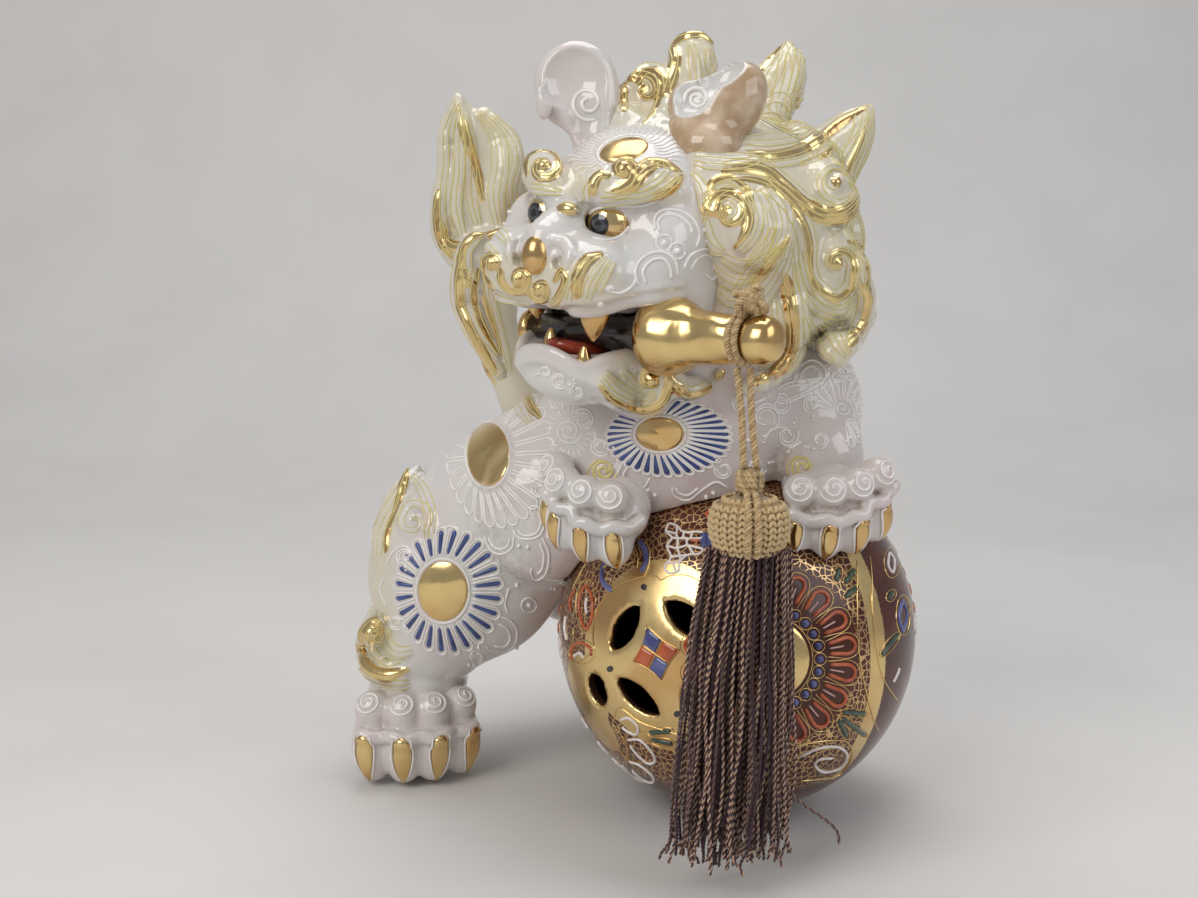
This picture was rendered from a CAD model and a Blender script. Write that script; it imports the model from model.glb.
"""Guardian lion figure of glazed porcelain: its looks, made in Blender 4.5 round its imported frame.

The lion turns its head to its right, holds a rod with gold caps in its mouth and rests its forepaws on a
pierced ball. A tassel hangs from the rod. Forms below are worked out in millimetres, in the frame's own
axes or in the head's axes (forward, to the lion's left, up), and turned into metres when a mesh is made.
"""

import math
from types import SimpleNamespace

import bpy
import numpy as np
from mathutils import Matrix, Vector


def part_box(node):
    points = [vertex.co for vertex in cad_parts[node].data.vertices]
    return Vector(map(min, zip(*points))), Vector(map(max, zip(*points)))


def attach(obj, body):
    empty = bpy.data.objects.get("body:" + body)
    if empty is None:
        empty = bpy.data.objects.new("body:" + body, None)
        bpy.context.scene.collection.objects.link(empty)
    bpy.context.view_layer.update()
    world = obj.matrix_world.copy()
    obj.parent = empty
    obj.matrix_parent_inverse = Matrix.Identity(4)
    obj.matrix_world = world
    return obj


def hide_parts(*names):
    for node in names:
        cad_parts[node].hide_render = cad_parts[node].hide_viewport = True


bl_info = {
    "name": "Porcelain guardian lion",
    "version": (1, 0, 0),
    "blender": (4, 5, 0),
    "location": "3D View > Sidebar > Guardian lion",
    "description": "Glazed and gilded lion figure with a pierced ball and a corded tassel",
    "category": "Object",
}

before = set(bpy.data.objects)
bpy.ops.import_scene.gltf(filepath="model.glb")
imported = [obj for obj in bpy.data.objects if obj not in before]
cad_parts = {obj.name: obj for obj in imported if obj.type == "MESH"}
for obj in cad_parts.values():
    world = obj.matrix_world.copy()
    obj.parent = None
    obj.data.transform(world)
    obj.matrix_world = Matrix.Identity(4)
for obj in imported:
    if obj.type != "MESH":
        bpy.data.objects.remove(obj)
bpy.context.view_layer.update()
MM = 0.001

# The photograph's camera
PHOTO_SIZE = (1198, 898)
FOCAL_PIXELS = 1500.0
CAMERA_PLACE = np.array([-9.083, -599.92, 225.0])
CAMERA_PITCH = math.radians(8.0)
SENSOR_WIDTH = 36.0

# Places that the forms are drawn from
SHIFT = np.array([-9.083, -17.920, 0.0])  # from the modelling axes of the castings to the frame
HEAD_ORIGIN = np.array([2.917, -44.92, 225.0])
HEAD_AXES = np.array([[-0.61566, -0.78801, 0.0], [0.78214, -0.61107, -0.12187], [0.09603, -0.07503, 0.99255]])
ROD_ORIGIN = np.array([-13.845, -59.743, 191.75])
ROD_AXES = np.array([[-0.61566, -0.78801, 0.0], [0.78801, -0.61566, 0.0], [0.0, 0.0, 1.0]])
BALL_CENTRE = np.array([45.917, -11.115, 68.93])
BALL_RADIUS = 71.0
BALL_WALL = 5.0
GROOVE = np.array([39.109, -101.115, 191.75])
STRAND_FOOT = np.array([41.473, -102.962, 149.1])
FRAME_RIGHT = np.array([1.0, 0, 0])
HEAD_LEFT = np.array([0, 1.0, 0])


def unit(ways):
    """Vectors of length one, the same way."""
    return ways / np.maximum(np.linalg.norm(ways, axis=-1, keepdims=True), 1e-9)


def smooth(rows, count):
    """Rows read along the Catmull-Rom curve through them, at count even steps."""
    rows = np.array(rows, float)
    padded = np.vstack([2 * rows[0] - rows[1], rows, 2 * rows[-1] - rows[-2]])
    place = np.linspace(0, len(rows) - 1, count)
    index = np.minimum(place.astype(int), len(rows) - 2)
    t = (place - index)[:, None]
    a, b, c, d = (padded[index + k] for k in range(4))
    bend = (2 * a - 5 * b + 4 * c - d) * t**2 + (3 * b - a - 3 * c + d) * t**3
    return 0.5 * (2 * b + (c - a) * t + bend)


def ease(low, high, value):
    """0 below low, 1 above high, and 3t^2 - 2t^3 between them."""
    t = np.clip((value - low) / (high - low), 0, 1)
    return t * t * (3 - 2 * t)


def circle(angle):
    """Cosine and sine side by side."""
    return np.stack([np.cos(angle), np.sin(angle)], -1)


def round_turn(count):
    """Angles that go once round in even steps."""
    return 2 * math.pi * np.arange(count) / count


def spun(angle, first, second):
    """Ways at an angle between two others: cos(a) first + sin(a) second."""
    return np.cos(angle) * first + np.sin(angle) * second


def from_head(spots):
    """Places given in the head's axes, turned into the frame's."""
    return np.array(spots, float) @ HEAD_AXES + HEAD_ORIGIN


def oval(turn, radii, tilt=0.0):
    """Points of an ellipse at the angles of turn, leaned by degrees."""
    lean = math.radians(tilt)
    cos, sin = math.cos(lean), math.sin(lean)
    return circle(turn) * radii @ np.array([[cos, sin], [-sin, cos]])


class Clay:
    """Signed distances in millimetres on an even grid of points, negative inside the clay.

    Each form is worked out only in its own box and a margin round it, so a far value stays at the margin.
    """

    def __init__(self, low, high, step, axes=None, origin=(0, 0, 0), margin=10.0):
        self.low, self.step, self.margin = np.array(low, float), step, margin
        self.axes = np.eye(3) if axes is None else axes
        self.origin = np.array(origin, float)
        self.shape = np.ceil((np.array(high) - self.low) / step).astype(int) + 1
        self.value = np.full(self.shape, margin, np.float32)

    def twin(self):
        """An empty clay on the same grid."""
        made = Clay(self.low, self.low, self.step, self.axes, self.origin, self.margin)
        made.shape, made.value = self.shape, np.full(self.shape, self.margin, np.float32)
        return made

    def copy(self):
        made = self.twin()
        made.value = self.value.copy()
        return made

    def inward(self, spots):
        """Places in the frame, in the clay's own axes."""
        return (spots - self.origin) @ self.axes.T

    def outward(self, spots):
        return spots @ self.axes + self.origin

    def window(self, low, high):
        """The part of the grid between two corners, and its coordinates."""
        first = np.clip(np.floor((low - self.low) / self.step).astype(int), 0, self.shape - 2)
        last = np.clip(np.ceil((high - self.low) / self.step).astype(int) + 1, first + 2, self.shape)
        rows = [self.low[k] + self.step * np.arange(first[k], last[k]) for k in range(3)]
        box = tuple(slice(a, b) for a, b in zip(first, last))
        sides = ((-1, 1, 1), (1, -1, 1), (1, 1, -1))
        return box, [row.astype(np.float32).reshape(side) for row, side in zip(rows, sides)]

    def join(self, box, form, blend, carve=False):
        """The lower of the clay and a form, rounded over blend where they meet; carve takes the form away."""
        here = self.value[box]
        sign = -1.0 if carve else 1.0
        share = np.clip(0.5 + 0.5 * (sign * here - form) / blend, 0, 1)
        self.value[box] = sign * (sign * here * (1 - share) + form * share - blend * share * (1 - share))

    def egg(self, centre, radii, blend=4.0, turn=None, carve=False):
        """An ellipsoid whose own axes are turn's rows.

        Its distance is k0 (k0 - 1) / k1, where k0 = |p / r| and k1 = |p / r^2|.
        """
        centre, radii = np.array(centre, float), np.array(radii, float)
        reach = (radii if turn is None else np.full(3, radii.max())) + self.margin
        box, (x, y, z) = self.window(centre - reach, centre + reach)
        p = (x - centre[0], y - centre[1], z - centre[2])
        if turn is not None:
            p = [row[0] * p[0] + row[1] * p[1] + row[2] * p[2] for row in np.array(turn, np.float32)]
        k0 = np.sqrt(sum((q / r) ** 2 for q, r in zip(p, radii)))
        k1 = np.sqrt(sum((q / r**2) ** 2 for q, r in zip(p, radii))) + 1e-6
        self.join(box, np.minimum(k0 * (k0 - 1) / k1, self.margin), blend, carve)

    def tube(self, points, radii, blend=2.0, carve=False, flat=None, reach=None):
        """Cones from point to point: the distance to each stretch, less its radius there.

        flat is a way and its shares: distances along that way count that much less, so the tube is wider
        there.
        """
        points = np.array(points, float)
        radii = np.broadcast_to(np.array(radii, float), len(points))
        shares = np.ones(len(points)) if flat is None else np.broadcast_to(flat[1], len(points))
        reach = radii.max() / shares.min() + (reach or blend + 3)
        box, _ = self.window(points.min(0) - reach, points.max(0) + reach)
        patch = np.full([s.stop - s.start for s in box], self.margin, np.float32)
        for a, b, ra, rb, sa, sb in zip(points, points[1:], radii, radii[1:], shares, shares[1:]):
            own, (x, y, z) = self.window(np.minimum(a, b) - reach, np.maximum(a, b) + reach)
            own = tuple(slice(s.start - whole.start, s.stop - whole.start) for s, whole in zip(own, box))
            way = b - a
            p = (x - a[0], y - a[1], z - a[2])
            t = np.clip((p[0] * way[0] + p[1] * way[1] + p[2] * way[2]) / max(way @ way, 1e-9), 0, 1)
            q = [p[k] - t * way[k] for k in range(3)]
            if flat is not None:
                across = sum(q[k] * flat[0][k] for k in range(3)) * (1 - (sa + (sb - sa) * t))
                q = [q[k] - across * flat[0][k] for k in range(3)]
            gap = np.sqrt(q[0] ** 2 + q[1] ** 2 + q[2] ** 2) - (ra + (rb - ra) * t)
            np.minimum(patch[own], gap, out=patch[own])
        self.join(box, patch, blend, carve)

    def cut(self, rule, blend=1.0):
        """Takes away the side where rule, a distance worked out from x, y and z, is negative."""
        box, rows = self.window(self.low, self.low + self.step * self.shape)
        self.join(box, np.broadcast_to(rule(*rows), self.shape).astype(np.float32), blend, carve=True)

    def read(self, spots):
        """Values between the grid's points, in straight proportion. Spots are in the clay's own axes."""
        place = np.clip((spots - self.low) / self.step, 0, self.shape - 1.001)
        index = place.astype(int)
        x, y, z = (place - index).astype(np.float32).T
        flat, width, depth = self.value.reshape(-1), self.shape[1] * self.shape[2], self.shape[2]
        base = index[:, 0] * width + index[:, 1] * depth + index[:, 2]
        row = [flat[base + k] * (1 - z) + flat[base + k + 1] * z for k in (0, depth, width, width + depth)]
        return (row[0] * (1 - y) + row[1] * y) * (1 - x) + (row[2] * (1 - y) + row[3] * y) * x

    def slope(self, spots, reach=None):
        """The way in which the value grows, from differences over twice reach."""
        reach = reach or self.step
        rise = [self.read(spots + step) - self.read(spots - step) for step in np.eye(3) * reach]
        return np.stack(rise, 1) / (2 * reach)

    def settle(self, spots, rounds=2, reach=None):
        """Spots moved onto the surface: p - value * slope / |slope|^2, a few times over."""
        for _ in range(rounds):
            slope = self.slope(spots, reach)
            size = np.maximum((slope**2).sum(1), 0.2)
            spots = spots - (np.clip(self.read(spots), -3, 3) / size)[:, None] * slope
        return spots

    def meet(self, starts, ways):
        """Where lines of view first touch the clay, or pass it nearest, in the frame, and the way out there.

        A line goes on by 0.8 of the distance that it reads, until it is within 0.03 mm. How near each line
        came and how far it went are kept in passed and travelled.
        """
        start, way = self.inward(starts), ways @ self.axes.T
        top = self.low + self.step * (self.shape - 1)
        safe = np.where(np.abs(way) < 1e-9, 1e-9, way)
        ends = np.stack([(self.low - start) / safe, (top - start) / safe])
        travel, last = np.maximum(ends.min(0).max(1), 0), ends.max(0).min(1)
        least, best = np.full(len(start), np.inf), travel.copy()
        for _ in range(130):
            here = self.read(start + travel[:, None] * way)
            nearer = here < least - 1e-3
            least, best = np.where(nearer, here, least), np.where(nearer, travel, best)
            going = (least > 0.03) & (travel < last)
            if not going.any():
                break
            travel = np.where(going, travel + np.clip(here * 0.8, 0.05, 4), travel)
        self.passed, self.travelled = least, best
        spots = self.settle(start + best[:, None] * way, 3)
        return self.outward(spots), unit(self.slope(spots, 1.2) @ self.axes)

    def skin(self):
        """The zero surface by surface nets: a point in each crossed cell, a quad for each crossed edge.

        Where the clay reaches the box's side, a flat face closes it.
        """
        value = self.value.copy()
        for axis in range(3):
            for end in (0, -1):
                side = np.moveaxis(value, axis, 0)[end]
                np.maximum(side, 0.3 * self.step, out=side)
        inside = value < 0
        total = np.zeros(self.shape - 1, np.int8)
        corners = [(i, j, k) for i in (0, 1) for j in (0, 1) for k in (0, 1)]
        wide, deep, tall = self.shape - 1
        for i, j, k in corners:
            total += inside[i : wide + i, j : deep + j, k : tall + k]
        mixed = (total > 0) & (total < 8)
        cells = np.argwhere(mixed)
        number = np.full(mixed.shape, -1, np.int32)
        number[mixed] = np.arange(len(cells))
        spots, count = np.zeros((len(cells), 3)), np.zeros(len(cells))
        ways = np.eye(3, dtype=int)
        for a in corners:
            for axis in range(3):
                if a[axis]:
                    continue
                va = value[tuple((cells + a).T)]
                vb = value[tuple((cells + a + ways[axis]).T)]
                crossed = (va < 0) != (vb < 0)
                t = np.where(crossed, va / np.where(crossed, va - vb, 1), 0)
                spots += crossed[:, None] * (np.array(a) + t[:, None] * ways[axis])
                count += crossed
        spots = cells + spots / count[:, None]
        quads = []
        for axis in range(3):
            u, v = (axis + 1) % 3, (axis + 2) % 3
            edges = np.argwhere(inside != np.roll(inside, -1, axis))
            keep = (edges[:, axis] < self.shape[axis] - 1) & (edges[:, u] > 0) & (edges[:, v] > 0)
            edges = edges[keep & (edges < self.shape - 1).all(1)]
            shifts = (ways[u] * 0, ways[u], ways[u] + ways[v], ways[v])
            quad = np.stack([number[tuple((edges - shift).T)] for shift in shifts], 1)
            outside = ~inside[tuple(edges.T)]
            quad[outside] = quad[outside, ::-1]
            quads.append(quad)
        quads = np.vstack(quads)
        beside = ((cells < 1) | (cells > self.shape - 3)).any(1)
        spots = self.low + self.step * spots
        spots[~beside] = self.settle(spots[~beside])
        return spots, quads[(quads >= 0).all(1)]

    def hollows(self, spots):
        """How shut in each spot is, from 0 to 1.

        It is how much nearer the clay lies than its way out would have it.
        """
        way = unit(self.slope(spots, 1.5))
        shut = [1 - self.read(spots + way * d) / d for d in (2.5, 5.0, 9.0)]
        return np.clip(np.mean(shut, 0), 0, 1)


class Sight:
    """Lines of view: from the photograph's camera through its pixels, or side by side towards a place."""

    def __init__(self, place=None, facing=None, up=(0, 0, 1), back=60.0):
        self.place = None if place is None else np.array(place, float)
        if facing is not None:
            self.facing = unit(np.array(facing, float))
            self.right = unit(np.cross(up, self.facing))
            self.up = np.cross(self.facing, self.right)
            self.back = back

    def rays(self, spots):
        """A start and a way for each spot: pixels of the photograph, or millimetres right and down."""
        spots = np.atleast_2d(np.array(spots, float))
        if self.place is None:
            forward = np.array([0, math.cos(CAMERA_PITCH), -math.sin(CAMERA_PITCH)])
            up = np.array([0, math.sin(CAMERA_PITCH), math.cos(CAMERA_PITCH)])
            across = (spots[:, :1] - PHOTO_SIZE[0] / 2) / FOCAL_PIXELS * np.array([1.0, 0, 0])
            down = (spots[:, 1:] - PHOTO_SIZE[1] / 2) / FOCAL_PIXELS * up
            ways = unit(forward + across - down)
            return np.broadcast_to(CAMERA_PLACE, ways.shape), ways
        starts = self.place + spots[:, :1] * self.right - spots[:, 1:] * self.up + self.facing * self.back
        return starts, np.broadcast_to(-self.facing, starts.shape)


PHOTO = Sight()


class Pile:
    """Points and faces of many small forms that go into one mesh."""

    def __init__(self):
        self.spots, self.faces, self.marks, self.count = [], [], {}, 0

    def add(self, spots, faces, **marks):
        """Adds points (n, 3) and face arrays, with a value for each point of each mark."""
        spots = np.asarray(spots, float).reshape(-1, 3)
        self.spots.append(spots)
        self.faces += [np.asarray(f) + self.count for f in faces]
        for name, values in marks.items():
            self.marks.setdefault(name, []).append((self.count, np.broadcast_to(values, len(spots)).copy()))
        self.count += len(spots)

    def finished_marks(self):
        done = {name: np.zeros(self.count, np.float32) for name in self.marks}
        for name, parts in self.marks.items():
            for start, values in parts:
                done[name][start : start + len(values)] = values
        return done

    def ridges(self, points, ways, widths, heights, sides=6, **marks):
        """Low ridges laid along rows of points (k, n, 3), closed at both ends, where they narrow to 0.4.

        A section is an ellipse: widths across the way out of the surface, heights along it.
        """
        points, ways = np.asarray(points, float), np.asarray(ways, float)
        if points.ndim == 2:
            points, ways = points[None], ways[None]
        k, n = points.shape[:2]
        along = unit(np.gradient(points, axis=1))
        side = unit(np.cross(ways, along))
        out = np.cross(along, side)
        angle = 2 * math.pi * (np.arange(sides) + 0.5) / sides
        half = np.broadcast_to(np.asarray(widths, float) / 2, (k, n)).copy()
        tall = np.broadcast_to(np.asarray(heights, float), (k, n)).copy()
        for end in (0, -1):
            half[:, end] *= 0.4
            tall[:, end] *= 0.4
        rings = points[:, :, None] + side[:, :, None] * (np.cos(angle)[:, None] * half[..., None, None])
        rings = rings + out[:, :, None] * (np.sin(angle)[:, None] * tall[..., None, None])
        self.add_tubes(rings, **marks)

    def add_tubes(self, rings, **marks):
        """Closed tubes through rings of points (k, n, sides, 3), their faces turned out.

        A ring's area vector is half the sum of p x q round it. Its sum along the tube is the volume, and
        where that is positive, the rings are read the other way round.
        """
        k, n, sides = rings.shape[:3]
        middles = rings.mean(2)
        spokes = rings - middles[:, :, None]
        area = np.cross(spokes, np.roll(spokes, -1, 2)).sum(2) / 2
        volume = (np.diff(middles, axis=1) * (area[:, 1:] + area[:, :-1]) / 2).sum((1, 2))
        rings = np.where((volume > 0)[:, None, None, None], rings[:, :, ::-1], rings)
        index = np.arange(k * n * sides).reshape(k, n, sides)
        onward = np.roll(index, -1, 2)
        quads = np.stack([index[:, :-1], index[:, 1:], onward[:, 1:], onward[:, :-1]], -1).reshape(-1, 4)
        self.add(rings, [quads, index[:, 0], index[:, -1, ::-1]], **marks)

    def patch(self, rows, ways, rise, sink=0.5, **marks):
        """A thin closed dome over rings of points (r, sides, 3) that run from its middle to its edge.

        rise is the height of each ring; the underside lies sink below the surface.
        """
        rise = np.asarray(rise, float)[:, None, None]
        upper, lower = rows + ways * rise, (rows - ways * sink)[::-1]
        self.add_tubes(np.concatenate([upper, lower])[None], **marks)


def mesh_from(name, spots, faces, marks=None):
    """A mesh of points in millimetres and face arrays, with point attributes."""
    mesh = bpy.data.meshes.new(name)
    spots = np.ascontiguousarray(spots, np.float32) * MM
    faces = [f for f in faces if len(f)]
    corners = np.concatenate([f.reshape(-1) for f in faces]).astype(np.int32)
    sizes = np.concatenate([np.full(len(f), f.shape[1]) for f in faces])
    mesh.vertices.add(len(spots))
    mesh.vertices.foreach_set("co", spots.reshape(-1))
    mesh.loops.add(len(corners))
    mesh.loops.foreach_set("vertex_index", corners)
    mesh.polygons.add(len(sizes))
    mesh.polygons.foreach_set("loop_start", np.concatenate([[0], np.cumsum(sizes)[:-1]]).astype(np.int32))
    mesh.update(calc_edges=True)
    mesh.validate()
    mesh.shade_smooth()
    for mark, values in (marks or {}).items():
        layer = mesh.attributes.new(mark, "FLOAT", "POINT")
        layer.data.foreach_set("value", np.ascontiguousarray(values, np.float32))
    return mesh


def link(name, data):
    """A new object of the scene."""
    made = bpy.data.objects.new(name, data)
    bpy.context.scene.collection.objects.link(made)
    return made


def place_piece(name, spots, faces, body, finish, stands_for=(), marks=None):
    """A new object that rides on a body, wears a finish and stands for CAD nodes; spots in millimetres."""
    mesh = mesh_from(name, spots, faces, marks)
    piece = link(name, mesh)
    material, slot = FINISHES[finish]
    mesh.materials.append(material)
    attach(piece, body)
    if stands_for:
        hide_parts(*stands_for)
    return piece


def place_pile(name, pile, body, finish, stands_for=()):
    return place_piece(name, np.vstack(pile.spots), pile.faces, body, finish, stands_for,
                       pile.finished_marks())


def place_ornament(prefix, piles):
    """The raised lines of each enamel as one piece on the figure."""
    for kind, pile in piles.items():
        if pile.count:
            place_pile(f"{prefix}_{kind}", pile, "figure", kind)


# Finishes


class Recipe:
    """A Principled material, made node by node."""

    def __init__(self, name, **sockets):
        self.material = bpy.data.materials.new(name)
        self.material.use_nodes = True
        self.tree = self.material.node_tree
        self.shader = self.tree.nodes["Principled BSDF"]
        self.finish(**sockets)
        self.place = self.node("ShaderNodeTexCoord").outputs["Object"]

    def node(self, kind, values=(), **settings):
        """A new node with its settings, and its inputs set or linked by name or number."""
        made = self.tree.nodes.new(kind)
        for key, value in settings.items():
            setattr(made, key, value)
        for key, value in dict(values).items():
            self.put(made.inputs[key], value)
        return made

    def put(self, socket, value):
        if isinstance(value, bpy.types.NodeSocket):
            self.tree.links.new(value, socket)
        else:
            socket.default_value = value

    def finish(self, **sockets):
        """Sets or links the shader's own sockets."""
        for socket, value in sockets.items():
            self.put(self.shader.inputs[socket.replace("_", " ")], value)
        return self.material

    def mark(self, name):
        return self.node("ShaderNodeAttribute", attribute_name=name).outputs["Fac"]

    def mix(self, share, a, b):
        """Colour a, or b where share is 1."""
        a, b = ((*colour, 1) if isinstance(colour, tuple) else colour for colour in (a, b))
        return self.node("ShaderNodeMix", {0: share, 6: a, 7: b}, data_type="RGBA").outputs[2]

    def band(self, value, low, high, to_low=0.0, to_high=1.0):
        values = {"Value": value, "From Min": low, "From Max": high, "To Min": to_low, "To Max": to_high}
        return self.node("ShaderNodeMapRange", values, interpolation_type="SMOOTHSTEP").outputs["Result"]

    def sum(self, way, a, b):
        return self.node("ShaderNodeMath", {0: a, 1: b}, operation=way).outputs[0]

    def noise(self, scale, detail=3.0, distortion=0.0):
        values = {"Vector": self.place, "Scale": scale, "Detail": detail, "Distortion": distortion}
        return self.node("ShaderNodeTexNoise", values).outputs["Fac"]

    def bump(self, height, distance, strength=0.5):
        values = {"Height": height, "Distance": distance, "Strength": strength}
        return self.node("ShaderNodeBump", values).outputs["Normal"]


GOLD = (0.79, 0.59, 0.27)
GOLD_WARM = (0.66, 0.41, 0.17)


GILT_FROM, GILT_FULL = 1.55, 1.75  # the gilt mark is 2 at the gilded clay's skin and falls by 1 a millimetre
ROSE_GLAZE = (0.69, 0.625, 0.605)
GREEN_GLAZE = (0.57, 0.625, 0.61)
IVORY_GLAZE = (0.70, 0.64, 0.47)
DUST = (0.29, 0.24, 0.155)
TAN_DARK = (0.43, 0.29, 0.165)
TAN_PALE = (0.64, 0.50, 0.36)
ROSE = (0.58, 0.42, 0.40)
MOUTH_DARK = (0.022, 0.026, 0.022)


def gold_tone(recipe):
    """Hand-laid gold: warmer and yellower by turns."""
    return recipe.mix(recipe.band(recipe.noise(45, 2), 0.4, 0.68), GOLD, GOLD_WARM)


def porcelain_finish(colours):
    """White glaze with a pearly cast, pale-yellow lines, dust in hollows and burnished gold over ribs."""
    recipe = Recipe("pearly white glaze", Coat_Weight=0.6, Coat_Roughness=0.03, Coat_IOR=1.5)
    glaze = recipe.mix(recipe.band(recipe.noise(22, 2), 0.42, 0.64), tuple(colours.glaze), ROSE_GLAZE)
    glaze = recipe.mix(recipe.band(recipe.noise(17, 2, 0.6), 0.56, 0.72, 0, 0.6), glaze, GREEN_GLAZE)
    glaze = recipe.mix(recipe.mark("ivory"), glaze, IVORY_GLAZE)
    speck = recipe.band(recipe.noise(420, 4), 0.38, 0.62)
    dust = recipe.sum("MULTIPLY", recipe.band(recipe.mark("hollow"), 0.2, 0.62),
                      recipe.sum("ADD", 0.4, speck))
    glaze = recipe.mix(recipe.sum("MULTIPLY", dust, 0.5), glaze, DUST)
    tan = recipe.mix(recipe.band(recipe.noise(85, 4), 0.38, 0.66), TAN_DARK, TAN_PALE)
    glaze = recipe.mix(recipe.mark("tan"), glaze, tan)
    glaze = recipe.mix(recipe.mark("rose"), glaze, ROSE)
    glaze = recipe.mix(recipe.mark("dark"), glaze, MOUTH_DARK)
    gilt = recipe.band(recipe.mark("gilt"), GILT_FROM, GILT_FULL)
    colour = recipe.mix(gilt, glaze, gold_tone(recipe))
    brushed = recipe.band(recipe.noise(60, 3), 0.3, 0.7, 0.09, 0.15)
    rough = recipe.sum("ADD", brushed, recipe.sum("MULTIPLY", gilt, 0.07))
    bump = recipe.bump(recipe.noise(150, 3), 0.0004, 0.25)
    return recipe.finish(Base_Color=colour, Metallic=gilt, Roughness=rough, Normal=bump)


def enamel_finish(name, colour, other, scale=160, roughness=0.16):
    """Raised enamel of one hue that pools darker and lighter."""
    recipe = Recipe(name, Coat_Weight=0.5, Coat_Roughness=0.05, Roughness=roughness)
    tone = recipe.mix(recipe.band(recipe.noise(scale, 2), 0.35, 0.65), colour, other)
    return recipe.finish(Base_Color=tone, Normal=recipe.bump(recipe.noise(260, 2), 0.0003, 0.2))


def gold_finish():
    recipe = Recipe("burnished gold", Metallic=1.0)
    rough = recipe.band(recipe.noise(120, 4), 0.3, 0.75, 0.12, 0.27)
    bump = recipe.bump(recipe.noise(85, 3), 0.0006, 0.35)
    return recipe.finish(Base_Color=gold_tone(recipe), Roughness=rough, Normal=bump)


GROUND_LIGHT = (0.06, 0.016, 0.009)
NET_GOLD = (0.70, 0.46, 0.22)
BALL_INSIDE = (0.05, 0.022, 0.014)


def ball_finish(colours):
    """Maroon ground under a fine gold net, plain maroon bands and a gold medallion round the piercings."""
    recipe = Recipe("gilded iron-red glaze", Coat_Weight=0.12, Coat_Roughness=0.08, Specular_IOR_Level=0.35)
    tone = recipe.mix(recipe.band(recipe.noise(60, 3), 0.35, 0.65), tuple(colours.ground), GROUND_LIGHT)
    wobble = recipe.node("ShaderNodeTexNoise", {"Vector": recipe.place, "Scale": 90.0, "Detail": 2.0})
    shifts = {0: 0.002, 4: recipe.place, 5: wobble.outputs["Color"]}
    moved = recipe.node("ShaderNodeMix", shifts, data_type="VECTOR").outputs[1]
    cells = {"Vector": moved, "Scale": 400.0, "Randomness": 0.6}
    net = recipe.node("ShaderNodeTexVoronoi", cells, feature="DISTANCE_TO_EDGE")
    edge = recipe.band(net.outputs["Distance"], 0.05, 0.09, 1, 0)
    gilt = recipe.band(recipe.mark("gilt"), GILT_FROM, GILT_FULL)
    bare = recipe.sum("MAXIMUM", gilt, recipe.mark("plain"))
    edge = recipe.sum("MULTIPLY", edge, recipe.sum("SUBTRACT", 1.0, bare))
    tone = recipe.mix(edge, tone, NET_GOLD)
    tone = recipe.mix(recipe.mark("inside"), tone, BALL_INSIDE)
    colour = recipe.mix(gilt, tone, gold_tone(recipe))
    metal = recipe.sum("MAXIMUM", gilt, recipe.sum("MULTIPLY", edge, 0.8))
    rough = recipe.band(recipe.noise(120, 3), 0.3, 0.7, 0.13, 0.22)
    rough = recipe.sum("ADD", rough, recipe.sum("MULTIPLY", gilt, 0.1))
    height = recipe.sum("ADD", recipe.sum("MULTIPLY", edge, 0.8),
                        recipe.sum("MULTIPLY", recipe.noise(120, 2), 0.3))
    bump = recipe.bump(height, 0.0005, 0.5)
    return recipe.finish(Base_Color=colour, Metallic=metal, Roughness=rough, Normal=bump)


IRIS_RING = (0.05, 0.058, 0.07)
IRIS = (0.008, 0.009, 0.012)
PUPIL = (0.003, 0.003, 0.004)


def eye_finish():
    """Gold white of the eye, dark iris in a paler ring, black pupil, by degrees from where it looks."""
    recipe = Recipe("painted eye", Coat_Weight=1.0, Coat_Roughness=0.02, Roughness=0.1)
    gaze = recipe.mark("gaze")
    iris = recipe.mix(recipe.band(gaze, 19.0, 16.0), IRIS, IRIS_RING)
    iris = recipe.mix(recipe.band(gaze, 11.5, 9.5), iris, PUPIL)
    white = recipe.band(gaze, 27.0, 28.5)
    colour = recipe.mix(white, iris, gold_tone(recipe))
    rough = recipe.band(recipe.noise(150), 0.3, 0.7, 0.08, 0.16)
    return recipe.finish(Base_Color=colour, Metallic=white, Roughness=rough)


def black_finish():
    recipe = Recipe("black glaze", Coat_Weight=0.7, Coat_Roughness=0.06)
    tone = recipe.mix(recipe.band(recipe.noise(90, 3), 0.4, 0.7), (0.012, 0.010, 0.010),
                      (0.035, 0.022, 0.016))
    rough = recipe.band(recipe.noise(140, 3), 0.3, 0.7, 0.16, 0.32)
    return recipe.finish(Base_Color=tone, Roughness=rough,
                         Normal=recipe.bump(recipe.noise(160, 3), 0.0004, 0.3))


def thread_finish(name, pale, dark, scale, sheen=0.35, fleck=0.5):
    """Twisted thread: the ply mark picks the paler or the darker yarn; fine noise gives it fibres."""
    recipe = Recipe(name, Sheen_Weight=sheen, Sheen_Roughness=0.4, Roughness=0.5)
    fibre = recipe.noise(scale, 4, 0.4)
    ply = recipe.band(recipe.mark("ply"), 0.3, 0.7)
    tone = recipe.mix(ply, dark, pale)
    tone = recipe.mix(recipe.band(fibre, 0.35, 0.7, 0, fleck), tone, tuple(min(1.0, c * 1.5) for c in pale))
    return recipe.finish(Base_Color=tone, Normal=recipe.bump(fibre, 0.0004, 0.6))


def stage_finish():
    recipe = Recipe("pale floor", Roughness=0.75)
    tone = recipe.mix(recipe.band(recipe.noise(9, 3), 0.35, 0.7), (0.74, 0.725, 0.705), (0.71, 0.695, 0.675))
    return recipe.finish(Base_Color=tone)


FINISHES = {}
CLAYS = {}


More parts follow.
